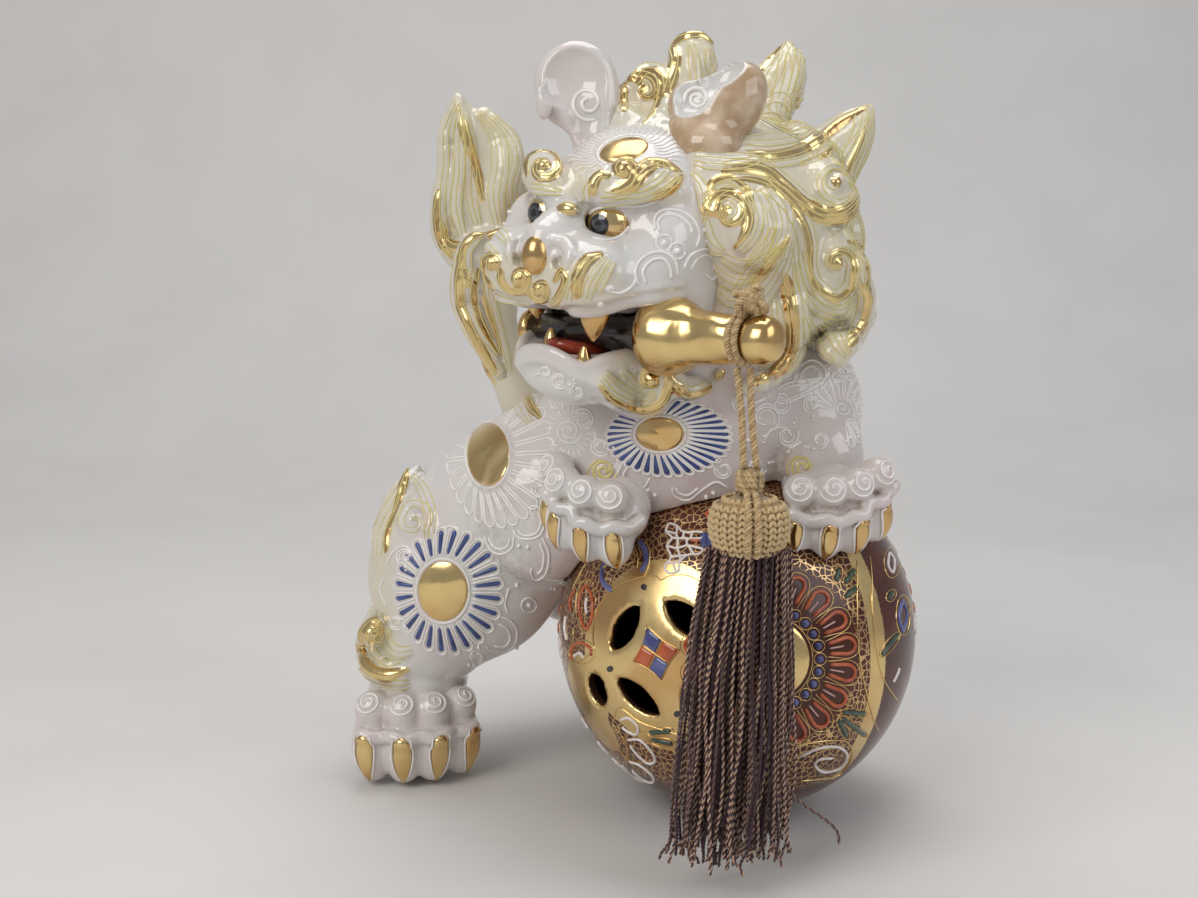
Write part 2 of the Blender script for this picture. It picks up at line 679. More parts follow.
def mix_finishes(colours):
    """Every finish and its slot in the record."""
    FINISHES.update({
        "glaze": (porcelain_finish(colours), "porcelain"),
        "gold": (gold_finish(), "gold_lustre"),
        "ball": (ball_finish(colours), "red_enamel"),
        "eye": (eye_finish(), "eye_enamel"),
        "black": (black_finish(), "black_glaze"),
        "cord": (thread_finish("champagne cord", (0.56, 0.41, 0.21), (0.32, 0.205, 0.09), 1600), "cord"),
    })
    strings = thread_finish("mauve strings", (0.66, 0.43, 0.29), (0.030, 0.007, 0.028), 1800, 0.05, 0.1)
    FINISHES["strings"] = (strings, "tassel_strings")
    for kind, slot, name, colour, other, scale in (
        ("slip", "porcelain", "raised white slip", (0.90, 0.88, 0.85), (0.86, 0.81, 0.79), 160),
        ("blue", "porcelain", "cobalt strokes", (0.022, 0.042, 0.17), (0.050, 0.090, 0.29), 160),
        ("yellow", "porcelain", "pale-yellow lines", tuple(colours.yellow_line), (0.66, 0.58, 0.26), 160),
        ("orange", "red_enamel", "orange enamel", (0.56, 0.115, 0.03), (0.42, 0.07, 0.02), 160),
        ("pink", "red_enamel", "rose enamel", (0.62, 0.36, 0.32), (0.70, 0.46, 0.42), 160),
        ("green", "red_enamel", "dark green enamel", (0.022, 0.05, 0.034), (0.045, 0.085, 0.055), 160),
        ("bead", "red_enamel", "blue bead enamel", (0.06, 0.07, 0.22), (0.12, 0.14, 0.34), 160),
        ("snow", "red_enamel", "white enamel lines", (0.85, 0.80, 0.77), (0.78, 0.70, 0.67), 160),
        ("tongue", "red_enamel", "orange-red enamel", (0.42, 0.055, 0.018), (0.28, 0.03, 0.012), 90),
    ):
        FINISHES[kind] = (enamel_finish(name, colour, other, scale), slot)


# Camera and cords


def place_camera():
    """The photograph's camera: level across and pitched down, its focal length turned into millimetres."""
    data = bpy.data.cameras.new("photo_camera")
    data.sensor_width = SENSOR_WIDTH
    data.lens = FOCAL_PIXELS / PHOTO_SIZE[0] * SENSOR_WIDTH
    data.clip_start, data.clip_end = 0.01, 20.0
    camera = link("photo_camera", data)
    camera.location = tuple(CAMERA_PLACE * MM)
    camera.rotation_euler = (math.pi / 2 - CAMERA_PITCH, 0, 0)
    bpy.context.scene.camera = camera


def twisted(path, plies, radius, offset, turns, sides=5):
    """Rings of the plies of a twisted cord along paths (k, n, 3).

    Each ply's middle circles the path at offset, turns times from end to end. Gives (k * plies, n, sides, 3).
    """
    path = np.asarray(path, float)
    if path.ndim == 2:
        path = path[None]
    k, n = path.shape[:2]
    along = unit(np.gradient(path, axis=1))
    guide = np.where(np.abs(along[..., :1]) > 0.85, np.array([0, 1.0, 0]), np.array([1.0, 0, 0]))
    side = unit(np.cross(along, guide))
    out = np.cross(along, side)
    share = np.linspace(0, 1, n)[None, :, None]
    angle = 2 * math.pi * np.asarray(turns).reshape(-1, 1, 1) * share + round_turn(plies)
    angle = np.broadcast_to(angle, (k, n, plies))
    middles = path[:, :, None] + offset * spun(angle[..., None], side[:, :, None], out[:, :, None])
    skin = spun(round_turn(sides)[:, None], side[:, :, None, None], out[:, :, None, None])
    rings = middles[:, :, :, None] + radius * skin
    return rings.transpose(0, 2, 1, 3, 4).reshape(k * plies, n, sides, 3)


def ply_marks(count, plies, points):
    """1 for the first ply of each cord and lower for the others."""
    return np.repeat(np.tile(np.linspace(1, 0, plies), count), points)


PLY_RADIUS, PLY_OFFSET = 0.27, 0.235  # of a strand's diameter
STRAND_APART = 2.2


def hang_cords(sizes):
    """The two strands from the loop down to the wrap, each of three twisted plies."""
    diameter = sizes.cord_diameter / MM
    pieces = []
    for number, side in ((1, -1), (2, 1)):
        node = f"cord_strand_{number}"
        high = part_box(node)[1]
        top = np.array([GROOVE[0] + side * STRAND_APART, GROOVE[1], high.z / MM])
        foot = STRAND_FOOT + (side * STRAND_APART, 0, 0)
        path = smooth([top, (top + foot) / 2 - (side * 0.5, 0, 0), foot], 60)
        pile = Pile()
        rings = twisted(path, 3, diameter * PLY_RADIUS, diameter * PLY_OFFSET, 7.5, 8)
        pile.add_tubes(rings, ply=ply_marks(1, 3, 60 * 8))
        strand = place_pile(f"hanging_strand_{number}", pile, "hanging_cord", "cord", [node])
        pieces.append((strand, path * MM))
    return pieces


def declare_cords(strands):
    """Says what each strand is once the pieces on its end are made."""
    for number, (strand, path) in enumerate(strands):
        float(np.linalg.norm(np.diff(path, axis=0), axis=1).sum())


# Tassel


UPRIGHT = np.eye(3)[[0, 2, 1]]


def lathe(profile, start, axes, sides=64):
    """A solid of revolution about axes[1]: rings at (place along it, radius) of the profile."""
    profile = np.array(profile, float)
    round_way = spun(round_turn(sides)[:, None], axes[0], axes[2])
    return (start + profile[:, :1, None] * axes[1] + profile[:, 1:, None] * round_way)[None]


LOOP_RADIUS = 8.0
LOOP_SHIFTS = (-1.3, 1.2)
KNOT_ABOVE_GROOVE = (1.8, -4.0, 13.0)
KNOT_CORE = (4.4, 4.2, 4.2)


def loop_and_knot():
    """Two close turns of cord in the cap's groove, and the bunched knot on top of them.

    The knot's cord wanders round its core by two sines along each axis.
    """
    pile = Pile()
    turn = np.linspace(0, 2 * math.pi, 121)
    for shift in LOOP_SHIFTS:
        coil = GROOVE + LOOP_RADIUS * spun(turn[:, None], ROD_AXES[2], ROD_AXES[0]) + ROD_AXES[1] * shift
        along = unit(np.gradient(coil, axis=0))
        angle = 16 * 2 * math.pi * np.linspace(0, 1, 121)[:, None] + round_turn(3)
        out = unit(coil - GROOVE)
        side = np.cross(along, out)
        middles = coil[:, None] + 0.6 * spun(angle[..., None], out[:, None], side[:, None])
        skin = spun(round_turn(7)[:, None], out[:, None, None], side[:, None, None])
        pile.add_tubes((middles[:, :, None] + 0.72 * skin).transpose(1, 0, 2, 3),
                       ply=ply_marks(1, 3, 121 * 7))
    place_pile("cord_turns", pile, "hanging_cord", "cord", ["cord_loop"])
    pile = Pile()
    middle = GROOVE + KNOT_ABOVE_GROOVE
    s = np.linspace(0, 2 * math.pi, 260)
    wander = np.stack([
        np.sin(2 * s) * 3.6 + np.sin(7 * s) * 1.2,
        np.cos(3 * s) * 3.0 + np.sin(5 * s) * 1.3,
        np.sin(3 * s + 0.6) * 3.0 + np.cos(4 * s) * 1.2,
    ], 1)
    wander = unit(wander) * np.clip(np.linalg.norm(wander, axis=1), 3.0, 5.6)[:, None]
    pile.add_tubes(twisted(middle + wander * (1.1, 1.0, 1.1), 3, 0.78, 0.64, 36, 6),
                   ply=ply_marks(1, 3, 260 * 6))
    rings, _ = ball_grid(middle, KNOT_CORE, (0, 0, 1), 14, 20)
    pile.add_tubes(rings, ply=0.2)
    place_pile("bunched_knot", pile, "hanging_cord", "cord", ["cord_knot"])


WRAP_CORE = ((-4.0, 0.8), (-3.2, 2.6), (0, 3.2), (3.4, 2.6), (4.2, 0.8))
KNITTED_PROFILE = ((-0.2, 2.0), (-0.6, 6.4), (-3.2, 10.9), (-8, 12.6), (-13.3, 12.3), (-17.6, 10.2),
                   (-19, 7.0))
KNITTED_ROWS, KNITTED_STITCHES = 9, 24
FRONT_CORD = (
    (1.2, -3.6, 1.5), (1.5, -9.0, 0.4), (1.5, -13.1, -4.0), (1.6, -14.4, -9.0), (1.6, -13.9, -14.5),
    (1.4, -11.6, -18.6),
)


def wrap_and_head():
    """The wrapped tie below the strands, and the knitted head with the two cords running on over its front.

    A stitch is two short ridges that lean apart, each arched by half a sine.
    """
    pile = Pile()
    s = np.linspace(0, 1, 200)
    around = 2 * math.pi * 4.5 * s
    radius = 3.9 * np.sqrt(np.clip(1 - ((s - 0.5) * 1.5) ** 2, 0.1, 1))
    coil = np.stack([radius * np.cos(around), radius * np.sin(around), 3.2 - 7.8 * s], 1)
    coil = coil + STRAND_FOOT + (0, 0, -4.3)
    pile.add_tubes(twisted(coil, 3, 0.72, 0.6, 26, 6), ply=ply_marks(1, 3, 200 * 6))
    pile.add_tubes(lathe(WRAP_CORE, STRAND_FOOT + (0, 0, -4.9), UPRIGHT, 24), ply=0.4)
    wrap = place_pile("cord_tie", pile, "tassel", "cord", ["cord_wrap"])
    head = Pile()
    centre = STRAND_FOOT - (0, 0, 9.8)
    profile = smooth(KNITTED_PROFILE, 30)
    head.add_tubes(lathe(profile, centre, UPRIGHT, 48), ply=0.1)
    down = np.linspace(-1.3, -18.2, KNITTED_ROWS)
    reach = np.interp(-down, -profile[:, 0], profile[:, 1])
    row, stitch = np.meshgrid(np.arange(KNITTED_ROWS), np.arange(KNITTED_STITCHES), indexing="ij")
    t = np.linspace(0, 1, 7)
    for lean in (-1, 1):
        turn = 2 * math.pi * (stitch[..., None] + 0.5 + lean * (0.08 + 0.42 * t)) / KNITTED_STITCHES
        out = reach[row][..., None] + 0.95 * np.sin(math.pi * t) - 0.15
        height = down[row][..., None] + 1.35 * (t - 0.5) * 1.6
        spots = np.stack([out * np.cos(turn), out * np.sin(turn), height], -1) + centre
        ways = np.stack([np.cos(turn), np.sin(turn), np.zeros_like(turn)], -1)
        head.ridges(spots.reshape(-1, 7, 3), ways.reshape(-1, 7, 3), 1.35, 0.75, 6, ply=0.95)
    for side in (-1, 1):
        path = smooth(np.array(FRONT_CORD) * (side, 1, 1), 60)
        head.add_tubes(twisted(path + centre, 3, 0.72, 0.6, 7, 6), ply=ply_marks(1, 3, 60 * 6))
    turban = place_pile("knitted_head", head, "tassel", "cord", ["tassel_head"])
    return [wrap, turban]


GOLDEN_TURN = 2.399963  # radians from each string to the next, so that they fill the head evenly
STRING_POINTS = 174
STRING_TOP = 121.5
STRING_TWIST = 2.7  # millimetres of string for a full twist
SKIRT_BACK = -88.4  # how far back the strings may hang, in front of the ball


def hang_strings(sizes):
    """Two-ply strings that fall from the head, spread, wave a little and end at uneven heights."""
    chance = np.random.default_rng(7)
    count, n = sizes.string_count, STRING_POINTS
    layer = np.sqrt((np.arange(count) + 0.5) / count)
    turn = np.arange(count) * GOLDEN_TURN
    top = np.stack([np.cos(turn) * layer * 14.8, np.sin(turn) * layer * 9.8], 1)
    spread = np.array([1.40, 1.12]) * (1 + chance.normal(0, 0.05, (count, 2)))
    bottom = top * spread + chance.normal(0, 1.1, (count, 2)) + (-4.5, 0)
    tip = 10.5 + 11 * chance.random(count) ** 1.6
    s = np.linspace(0, 1, n)
    flare = 1 - (1 - s) ** 1.7
    across = top[:, None] + (bottom - top)[:, None] * flare[:, None]
    bulge = (np.sin(s * math.pi * 0.9) * 1.3)[None, :, None] * unit(top)[:, None] * layer[:, None, None]
    phase = chance.random((count, 1)) * 2 * math.pi
    pace = 1.0 + chance.random((count, 1)) * 2.6
    sway = np.stack([np.sin(pace * s * math.pi + phase), np.cos(pace * s * math.pi + phase * 1.7)], -1)
    across = across + bulge + sway * (1.9 * s[None, :, None])
    height = STRING_TOP - (STRING_TOP - tip)[:, None] * s
    paths = np.concatenate([across + STRAND_FOOT[:2], height[..., None]], -1)
    paths[..., 0] += ease(0.93, 1.0, s)[None] * chance.normal(0, 1.6, (count, 1))
    stray = int(np.argmax(bottom[:, 0] - 0.4 * bottom[:, 1]))
    paths[stray, :, 0] += 17.0 * ease(0.70, 1.0, s) ** 1.2
    paths[stray, :, 2] += 7.0 * ease(0.72, 1.0, s)
    paths[..., 1] = np.minimum(paths[..., 1], SKIRT_BACK)
    order = np.argsort(paths[:, n // 2, 1])
    halves = (("front_strings", order[: count // 2], ["tassel_skirt"]),
              ("back_strings", order[count // 2 :], []))
    for name, chosen, stands_for in halves:
        pile = Pile()
        lengths = 110 / STRING_TWIST * (1 + chance.normal(0, 0.06, len(chosen)))
        rings = twisted(paths[chosen], 2, 0.40, 0.32, lengths, 3)
        shade = np.repeat(0.18 + 0.82 * chance.random(len(chosen)), 2 * n * 3)
        pile.add_tubes(rings, ply=ply_marks(len(chosen), 2, n * 3) * shade)
        place_pile(name, pile, "tassel", "strings", stands_for)


# Tools shared by the castings


def at(rows):
    """Stations given in the modelling axes, turned into the frame's."""
    rows = np.array(rows, float)
    rows[..., :3] += SHIFT
    return rows


def lay_rib(clay, gilt, points, ways, radii, blend=1.1, gold=False):
    """A rib along points of the surface, sunk a third into it; a gilded one is kept in the gilt clay too."""
    middle = clay.inward(points - ways * (radii * 0.35)[:, None])
    clay.tube(middle, radii, blend)
    if gold:
        gilt.tube(middle, radii, 0.01)


def longest_run(kept):
    """The places of the longest unbroken row of true values."""
    edges = np.flatnonzero(np.diff(np.concatenate([[0], kept.astype(int), [0]])))
    starts, ends = edges[::2], edges[1::2]
    if not len(starts):
        return np.arange(0)
    best = int(np.argmax(ends - starts))
    return np.arange(starts[best], ends[best])


def swell(clay, sight, path, radii, blend=4, sink=0.5):
    """A body for a thick lock: a tube along a path drawn in a sight, sunk by a share of its radius.

    Where a line of view misses, the tube keeps the depth at which the line passes nearest.
    """
    line = smooth(path, 5 * len(path))
    radii = np.interp(np.linspace(0, 1, len(line)), np.linspace(0, 1, len(radii)), radii)
    starts, rays = sight.rays(line)
    clay.meet(starts, rays)
    known = np.flatnonzero(clay.passed < clay.margin - 1)
    if not len(known):
        return
    away = np.interp(np.arange(len(line)), known, clay.travelled[known])
    clay.tube(clay.inward(starts + rays * (away + radii * sink)[:, None]), radii, blend)


PIXELS_PER_MM = 2.75  # in the photograph, at about the lion's depth


def lay_lock(clay, base, gilt, sight, path, ribs, radius, gold=(), coil=None, spacing=2.3, narrow=(0.6, 0.35),
             trails=None):
    """A lock of hair drawn in a sight: ribs side by side along a path, that may end in a coil.

    A coil's middle, turns and way are given; its radius falls as (1 - s)^0.8. Spacing and radius are
    millimetres.
    """
    scale = PIXELS_PER_MM if sight is PHOTO else 1.0
    line = smooth(path, 12 + 7 * len(path)) if len(path) > 2 else np.linspace(path[0], path[1], 20)
    if coil is not None:
        middle, turns, way = np.array(coil[0], float), coil[1], coil[2]
        arm = line[-1] - middle
        s = np.linspace(0, 1, int(22 * turns) + 6)[1:]
        angle = math.atan2(arm[1], arm[0]) + way * 2 * math.pi * turns * s
        reach = np.linalg.norm(arm) * (1 - s) ** 0.8 + 0.15 * scale
        line = np.vstack([line, middle + circle(angle) * reach[:, None]])
    along = unit(np.gradient(line, axis=0))
    across = np.stack([-along[:, 1], along[:, 0]], 1)
    share = np.linspace(0, 1, len(line))
    width = np.interp(share, (0, 0.3, 0.7, 1), (narrow[0], 1, 0.85, narrow[1]))
    offsets = (np.arange(ribs) - (ribs - 1) / 2) * spacing * scale
    spots = line + across * offsets[:, None, None] * width[:, None]
    points, ways = base.meet(*sight.rays(spots.reshape(-1, 2)))
    points, ways = points.reshape(ribs, -1, 3), ways.reshape(ribs, -1, 3)
    found = base.passed.reshape(ribs, -1) < 2.0
    if trails is not None:
        offsets = (np.arange(ribs + 1) - ribs / 2) * spacing * scale
        trails.append((sight, line + across * offsets[:, None, None] * width[:, None]))
    thick = radius * np.interp(share, (0, 0.12, 0.75, 1), (0.35, 1, 1, 0.5))
    for rib in range(ribs):
        stretch = longest_run(found[rib])
        if len(stretch) > 4:
            bold = 1.45 if rib in gold and ribs > 1 else 1.0
            lay_rib(clay, gilt, points[rib][stretch], ways[rib][stretch], thick[stretch] * bold,
                    gold=rib in gold)
    if coil is not None:
        bead, _ = base.meet(*sight.rays([middle]))
        own = clay.inward(bead)[0]
        clay.egg(own, [radius * 1.5] * 3, 0.8)
        if gold:
            gilt.egg(own, [radius * 1.45] * 3, 0.01)


def lay_locks(clay, base, gilt, locks, spacing, trails, narrow=(0.6, 0.35), bold=1.0):
    """Locks drawn on the photograph: path, ribs, radius and, where they have them, gilded ribs and a coil."""
    for path, ribs, radius, *rest in locks:
        lay_lock(
            clay, base, gilt, PHOTO, path, ribs, radius * bold, *rest,
            spacing=spacing, narrow=narrow, trails=trails,
        )


def lay_trails(name, clay, trails):
    """Fine pale-yellow lines on each side of the ribs, laid on the finished clay."""
    pile = Pile()
    for sight, rows in trails:
        for row in rows:
            points, ways = clay.meet(*sight.rays(row))
            leap = np.concatenate([[0], np.linalg.norm(np.diff(points, axis=0), axis=1)])
            stretch = longest_run((clay.passed < 0.6) & (leap < 6))
            if len(stretch) > 6:
                pile.ridges(points[stretch], ways[stretch], 0.55, 0.26, 5)
    place_pile(name, pile, "figure", "yellow")


def clay_piece(name, clay, stands_for, gilt=None, tints=None, finish="glaze"):
    """The clay's surface as a piece of the figure, with marks for its hollows, its gilding and its tints."""
    spots, quads = clay.skin()
    marks = {"hollow": clay.hollows(spots)}
    if gilt is not None:
        marks["gilt"] = np.clip(2 - gilt.read(spots), 0, 4)
    for mark, values in (tints(spots) if tints else {}).items():
        marks[mark] = np.broadcast_to(values, len(spots))
    place_piece(name, clay.outward(spots), [quads], "figure", finish, stands_for, marks)


# Body, legs and paws


# Stations are x, y, z and a radius, in millimetres; drawn paths are pixels of the photograph
WRIST_COILS = ((604, 471), (803, 467))


SPINE = (
    (-56, 54, 97, 29.5), (-40, 44, 108, 38), (-11, 30, 124, 40), (15, 14, 141, 42), (36, 3, 154, 43),
    (39, -3, 176, 39), (40, -7, 206, 34),
)
HAUNCH_LEAN = math.radians(-12)
HAUNCHES = (
    ((-56, 34, 86), (41, 26, 38), (-76, 44, 48)),
    ((-4, 82, 88), (38, 24, 37), (14, 104, 50)),
)
SHANK_RADII = ((24,), (23.5,), (21.5,), (19,))
SHOULDERS = (
    ((9, -3, 149), (25, 24, 26), (4, -17, 137)),
    ((76.5, 4, 159), (26, 28, 31), (84, -15, 142)),
)
TUFTS = (
    ((-82, 42, 86, 11), (-85, 42, 102, 10.5), (-82, 44, 118, 7), (-77, 46, 129, 1.4)),
    ((-90, 52, 66, 8.5), (-95.5, 52, 58, 7.0), (-98, 50, 48, 3)),
    ((16, 98, 92, 10), (24, 104, 108, 9), (24, 106, 122, 1.2)),
)
HOCK_CURL = ((379, 624), (370, 632), (368, 650), (375, 667), (400, 676))
HOCK_BEAD = ((374, 632), (378, 642))
BODY_LOCKS = (
    ([(386, 552), (388, 530), (398, 506), (403, 486), (408, 468)], 1, 2.2, (0,)),
    ([(377, 556), (379, 530), (391, 506), (400, 486)], 2, 1.3),
    ([(428, 540), (430, 515), (424, 492), (412, 474)], 2, 1.4),
    ([(424, 534), (430, 518), (424, 506), (410, 504), (402, 516)], 1, 2.3, (), ((413, 521), 0.9, -1)),
    ([(408, 669), (386, 676), (368, 668), (361, 650), (363, 633), (371, 623)], 1, 2.9, (0,),
     ((372, 633), 0.8, 1)),
    ([(400, 660), (388, 664), (377, 656), (371, 645), (374, 634), (383, 631)], 1, 1.6, (),
     ((379, 638), 0.8, 1)),
    ([(410, 684), (388, 686), (370, 680), (358, 668)], 2, 1.3),
    ([(412, 650), (398, 652), (388, 644), (388, 630)], 2, 1.3),
    ([(527, 378), (526, 392), (531, 406), (541, 418)], 1, 2.2, (0,)),
    ([(518, 372), (516, 392), (521, 410), (531, 424)], 2, 1.2),
)
FAR_TUFT_LOCK = ((6, 16), (10, 2), (4, -10), (-2, -20))  # millimetres, seen from behind


def make_body():
    """Torso, legs and tufts as one skin, hollowed where it lies on the ball."""
    clay = Clay((-124, -76, 12), (102, 116, 210), 1.15)
    spine = smooth(at(SPINE), 16)
    clay.tube(spine[:, :3], spine[:, 3], 10)
    cos, sin = math.cos(HAUNCH_LEAN), math.sin(HAUNCH_LEAN)
    turn = [[cos, 0, -sin], [0, 1, 0], [sin, 0, cos]]
    for haunch, radii, hock in HAUNCHES:
        haunch, hock = at(haunch), at(hock)
        clay.egg(haunch, radii, 9, turn)
        shank = np.array([haunch, haunch + 0.6 * (hock - haunch), hock, hock - (0, 3, 16)])
        clay.tube(smooth(shank, 8), smooth(SHANK_RADII, 8)[:, 0], 8)
    for shoulder, radii, wrist in SHOULDERS:
        clay.egg(at(shoulder), radii, 9)
        clay.egg(at(wrist), (17, 17, 17), 8)
    clay.egg(at((-22, -2, 118)), (22, 14, 26), 12)
    for rows in TUFTS:
        tuft = smooth(at(rows), 10)
        clay.tube(tuft[:, :3], np.maximum(tuft[:, 3], 1.2), 4)
    swell(clay, PHOTO, HOCK_CURL, (4, 5, 5.5, 5.5, 3), 4, 0.1)
    swell(clay, PHOTO, HOCK_BEAD, (6, 6), 3, 0.2)
    for x, y in WRIST_COILS:
        swell(clay, PHOTO, [(x - 2, y), (x + 2, y)], (6.5, 6.5), 3, 0.45)
    base, gilt, trails = clay.copy(), clay.twin(), []
    CLAYS["body"] = base
    lay_locks(clay, base, gilt, BODY_LOCKS, 2.3, trails)
    behind = Sight(at((20, 104, 100)), (0.3, 1, 0.1))
    lay_lock(clay, base, gilt, behind, FAR_TUFT_LOCK, 3, 1.5, (1,), spacing=2.4)
    clay.egg(BALL_CENTRE, [BALL_RADIUS + 0.3] * 3, 1.5, carve=True)

    def tints(spots):
        x, y, z = spots.T
        tuft = ease(-88, -98, x) * ease(140, 130, z)
        leg = ease(82, 50, z) * ease(-84, -104, x + 0.15 * y)
        under = 0.3 * ease(150, 120, z) * ease(-45, -20, x) + 0.25 * ease(-30, -5, x) * ease(5, -20, y)
        return {"ivory": np.clip(tuft * 0.75 + leg * 0.5, 0, 1), "rose": np.clip(under, 0, 0.5)}

    stands_for = ["torso", "right_hind_leg", "left_hind_leg", "right_foreleg", "left_foreleg"]
    stands_for += ["right_haunch_tuft", "right_hock_curl", "left_haunch_tuft"]
    clay_piece("body", clay, stands_for, gilt, tints)
    lay_trails("body_lines", clay, trails)


# How far a forepaw's toes slide to the side, slant and lift
SLANTS = {"right_forepaw": (-0.50, -0.25, 6.0), "left_forepaw": (-0.1, 0.24, 5.5)}
# Each paw's place, the way it points to, its half width, length and height, and its toes' radius
PAWS = {
    "right_hind_paw": ((-79.5, 38, 20), (0.24, -1, 0), 24.0, 31.0, 23.0, 9.8),
    "left_hind_paw": ((18, 100, 20), (0.1, -1, 0), 24.0, 32.0, 23.0, 9.5),
    "right_forepaw": ((2, -33, 125), (-0.35, -1, -0.45), 19.0, 22.0, 15.0, 7.5),
    "left_forepaw": ((86, -33, 128), (0.3, -1, -0.45), 19.0, 22.0, 15.0, 7.5),
}


# Shares of a paw's height, length or toe radius
HIND_PAW = SimpleNamespace(
    step=0.85, knuckle_up=0.46, knuckle_out=0.02, boss=0.80, toe_tall=1.25, fold_wide=1.15, fold_up=0.08,
    fold_out=0.02, fold_radius=0.3, claw_top=0.62, claw_long=1.2, whorl=0.62,
)
FOREPAW = SimpleNamespace(
    step=0.75, knuckle_up=0.44, knuckle_out=-0.02, boss=0.88, toe_tall=1.1, fold_wide=1.3, fold_up=0.12,
    fold_out=0.14, fold_radius=0.36, claw_top=0.95, claw_long=1.0, whorl=0.72,
)
PAW_ROSE = 0.18


def shape_paw(name):
    """A paw's clay: pad, bossed knuckles over a wavy fold and four toes, and where its claws are laid."""
    centre, points_to, wide, long, high, toe = PAWS[name]
    hind = "hind" in name
    kind = HIND_PAW if hind else FOREPAW
    centre, forward = at(centre), unit(np.array(points_to, float))
    side = unit(np.cross((0, 0, 1), forward))
    up = np.cross(forward, side)
    room = wide + long * 0.55 + 8
    clay = Clay(centre - room, centre + room, kind.step)
    pad = smooth([(-0.5 * long, 0.78 * wide), (0, 0.92 * wide), (0.16 * long, 0.84 * wide)], 6)
    clay.tube(centre + pad[:, :1] * forward, pad[:, 1] * high / wide, 6, flat=(side, high / wide))
    if hind:
        clay.tube([centre + (0, 5, 3), centre + (0, 7, 28)], [17.5, 18.5], 8)
    slide, slant, lift = SLANTS.get(name, (0.0, 0.0, 0.0))
    share = (np.arange(4) - 1.5) / 1.5 + slide
    offset = wide * np.clip(0.74 * share, -0.86, 0.86)
    roots = centre + side * offset[:, None] + forward * (long * (0.56 - 0.2 * share**2))[:, None]
    roots = roots + up * (slant * offset)[:, None]
    knuckles = roots + up * (high * kind.knuckle_up + lift) + forward * (kind.knuckle_out * long - 0.4 * lift)
    toes = roots - up * high * 0.2
    boss = kind.boss * toe
    for knuckle, toe_place in zip(knuckles, toes):
        clay.egg(toe_place, (toe * 0.95, toe * 1.05, toe * 1.3 * kind.toe_tall), 2.5)
        clay.egg(knuckle, [boss] * 3, 2.2)
    spread = np.linspace(-kind.fold_wide, kind.fold_wide, 40)
    fold = centre + side * (spread * wide * 0.80)[:, None]
    fold = fold + forward * (long * (0.95 - 0.30 * spread**2))[:, None]
    scallops = 0.7 * np.cos(spread * 3 * math.pi) + 0.8 * lift + slant * spread * wide * 0.80
    fold = clay.settle(fold + up * (high * kind.fold_up + scallops)[:, None], 8, 1.5)
    clay.tube(fold + unit(clay.slope(fold, 1.5)) * kind.fold_out * toe, kind.fold_radius * toe, 1.0)
    if hind:
        clay.cut(lambda x, y, z: z - 0.2, 1.0)
    else:
        clay.egg(BALL_CENTRE, [BALL_RADIUS + 0.3] * 3, 1.0, carve=True)
    return SimpleNamespace(
        clay=clay, kind=kind, forward=forward, side=side, up=up, toe=toe, boss=boss, share=share, toes=toes,
        knuckles=knuckles,
    )


def lay_claws(paw, claws, whorls):
    """A pointed blade down each toe with a line of slip on each edge, and a coil on its knuckle.

    A blade's width goes as sin(pi (0.27 + 0.73 s)) from its root to its point.
    """
    s = np.linspace(0, 1, 12)
    blade = np.clip(np.sin(math.pi * (0.27 + 0.73 * s)), 0.03, 1)
    rim = paw.toe * 0.46 * blade
    drop = np.linspace(paw.kind.claw_top, -1.35, 12)[:, None] * paw.toe * paw.kind.claw_long
    turn = np.linspace(0, 2 * math.pi * 2.1, 44)
    reach = (paw.kind.whorl * paw.boss * (1 - turn / turn[-1]) ** 0.8 + 0.25)[:, None]
    for share, toe_place, knuckle in zip(paw.share, paw.toes, paw.knuckles):
        outward = unit(paw.forward + 0.55 * share * paw.side)
        starts = toe_place + outward * 30 + paw.up * drop
        ends, ways = paw.clay.meet(starts, np.broadcast_to(-outward, starts.shape))
        claws.ridges(ends + ways * 0.1, ways, paw.toe * 0.80 * blade, 1.3 * (1 - 0.5 * s), 10)
        across = unit(np.cross(ways, paw.up))
        for edge in (-1, 1):
            whorls.ridges(ends + across * (edge * rim)[:, None], ways, 0.8, 0.55)
        eye = unit(outward + 0.9 * paw.up)
        first = unit(np.cross(eye, (0, 0, 1.0)))
        starts = knuckle + eye * 25 + reach * spun(turn[:, None], first, np.cross(eye, first))
        ends, ways = paw.clay.meet(starts, np.broadcast_to(-eye, starts.shape))
        whorls.ridges(ends, ways, 0.95, 0.6, 6)


def make_paws():
    """The four paws, their gilded claws and the coils and lines of slip on their toes."""
    claws, whorls = Pile(), Pile()
    for name in PAWS:
        paw = shape_paw(name)
        lay_claws(paw, claws, whorls)
        clay_piece(name, paw.clay, [name], tints=lambda spots: {"rose": PAW_ROSE})
    place_pile("claws", claws, "figure", "gold")
    place_pile("knuckle_whorls", whorls, "figure", "slip")


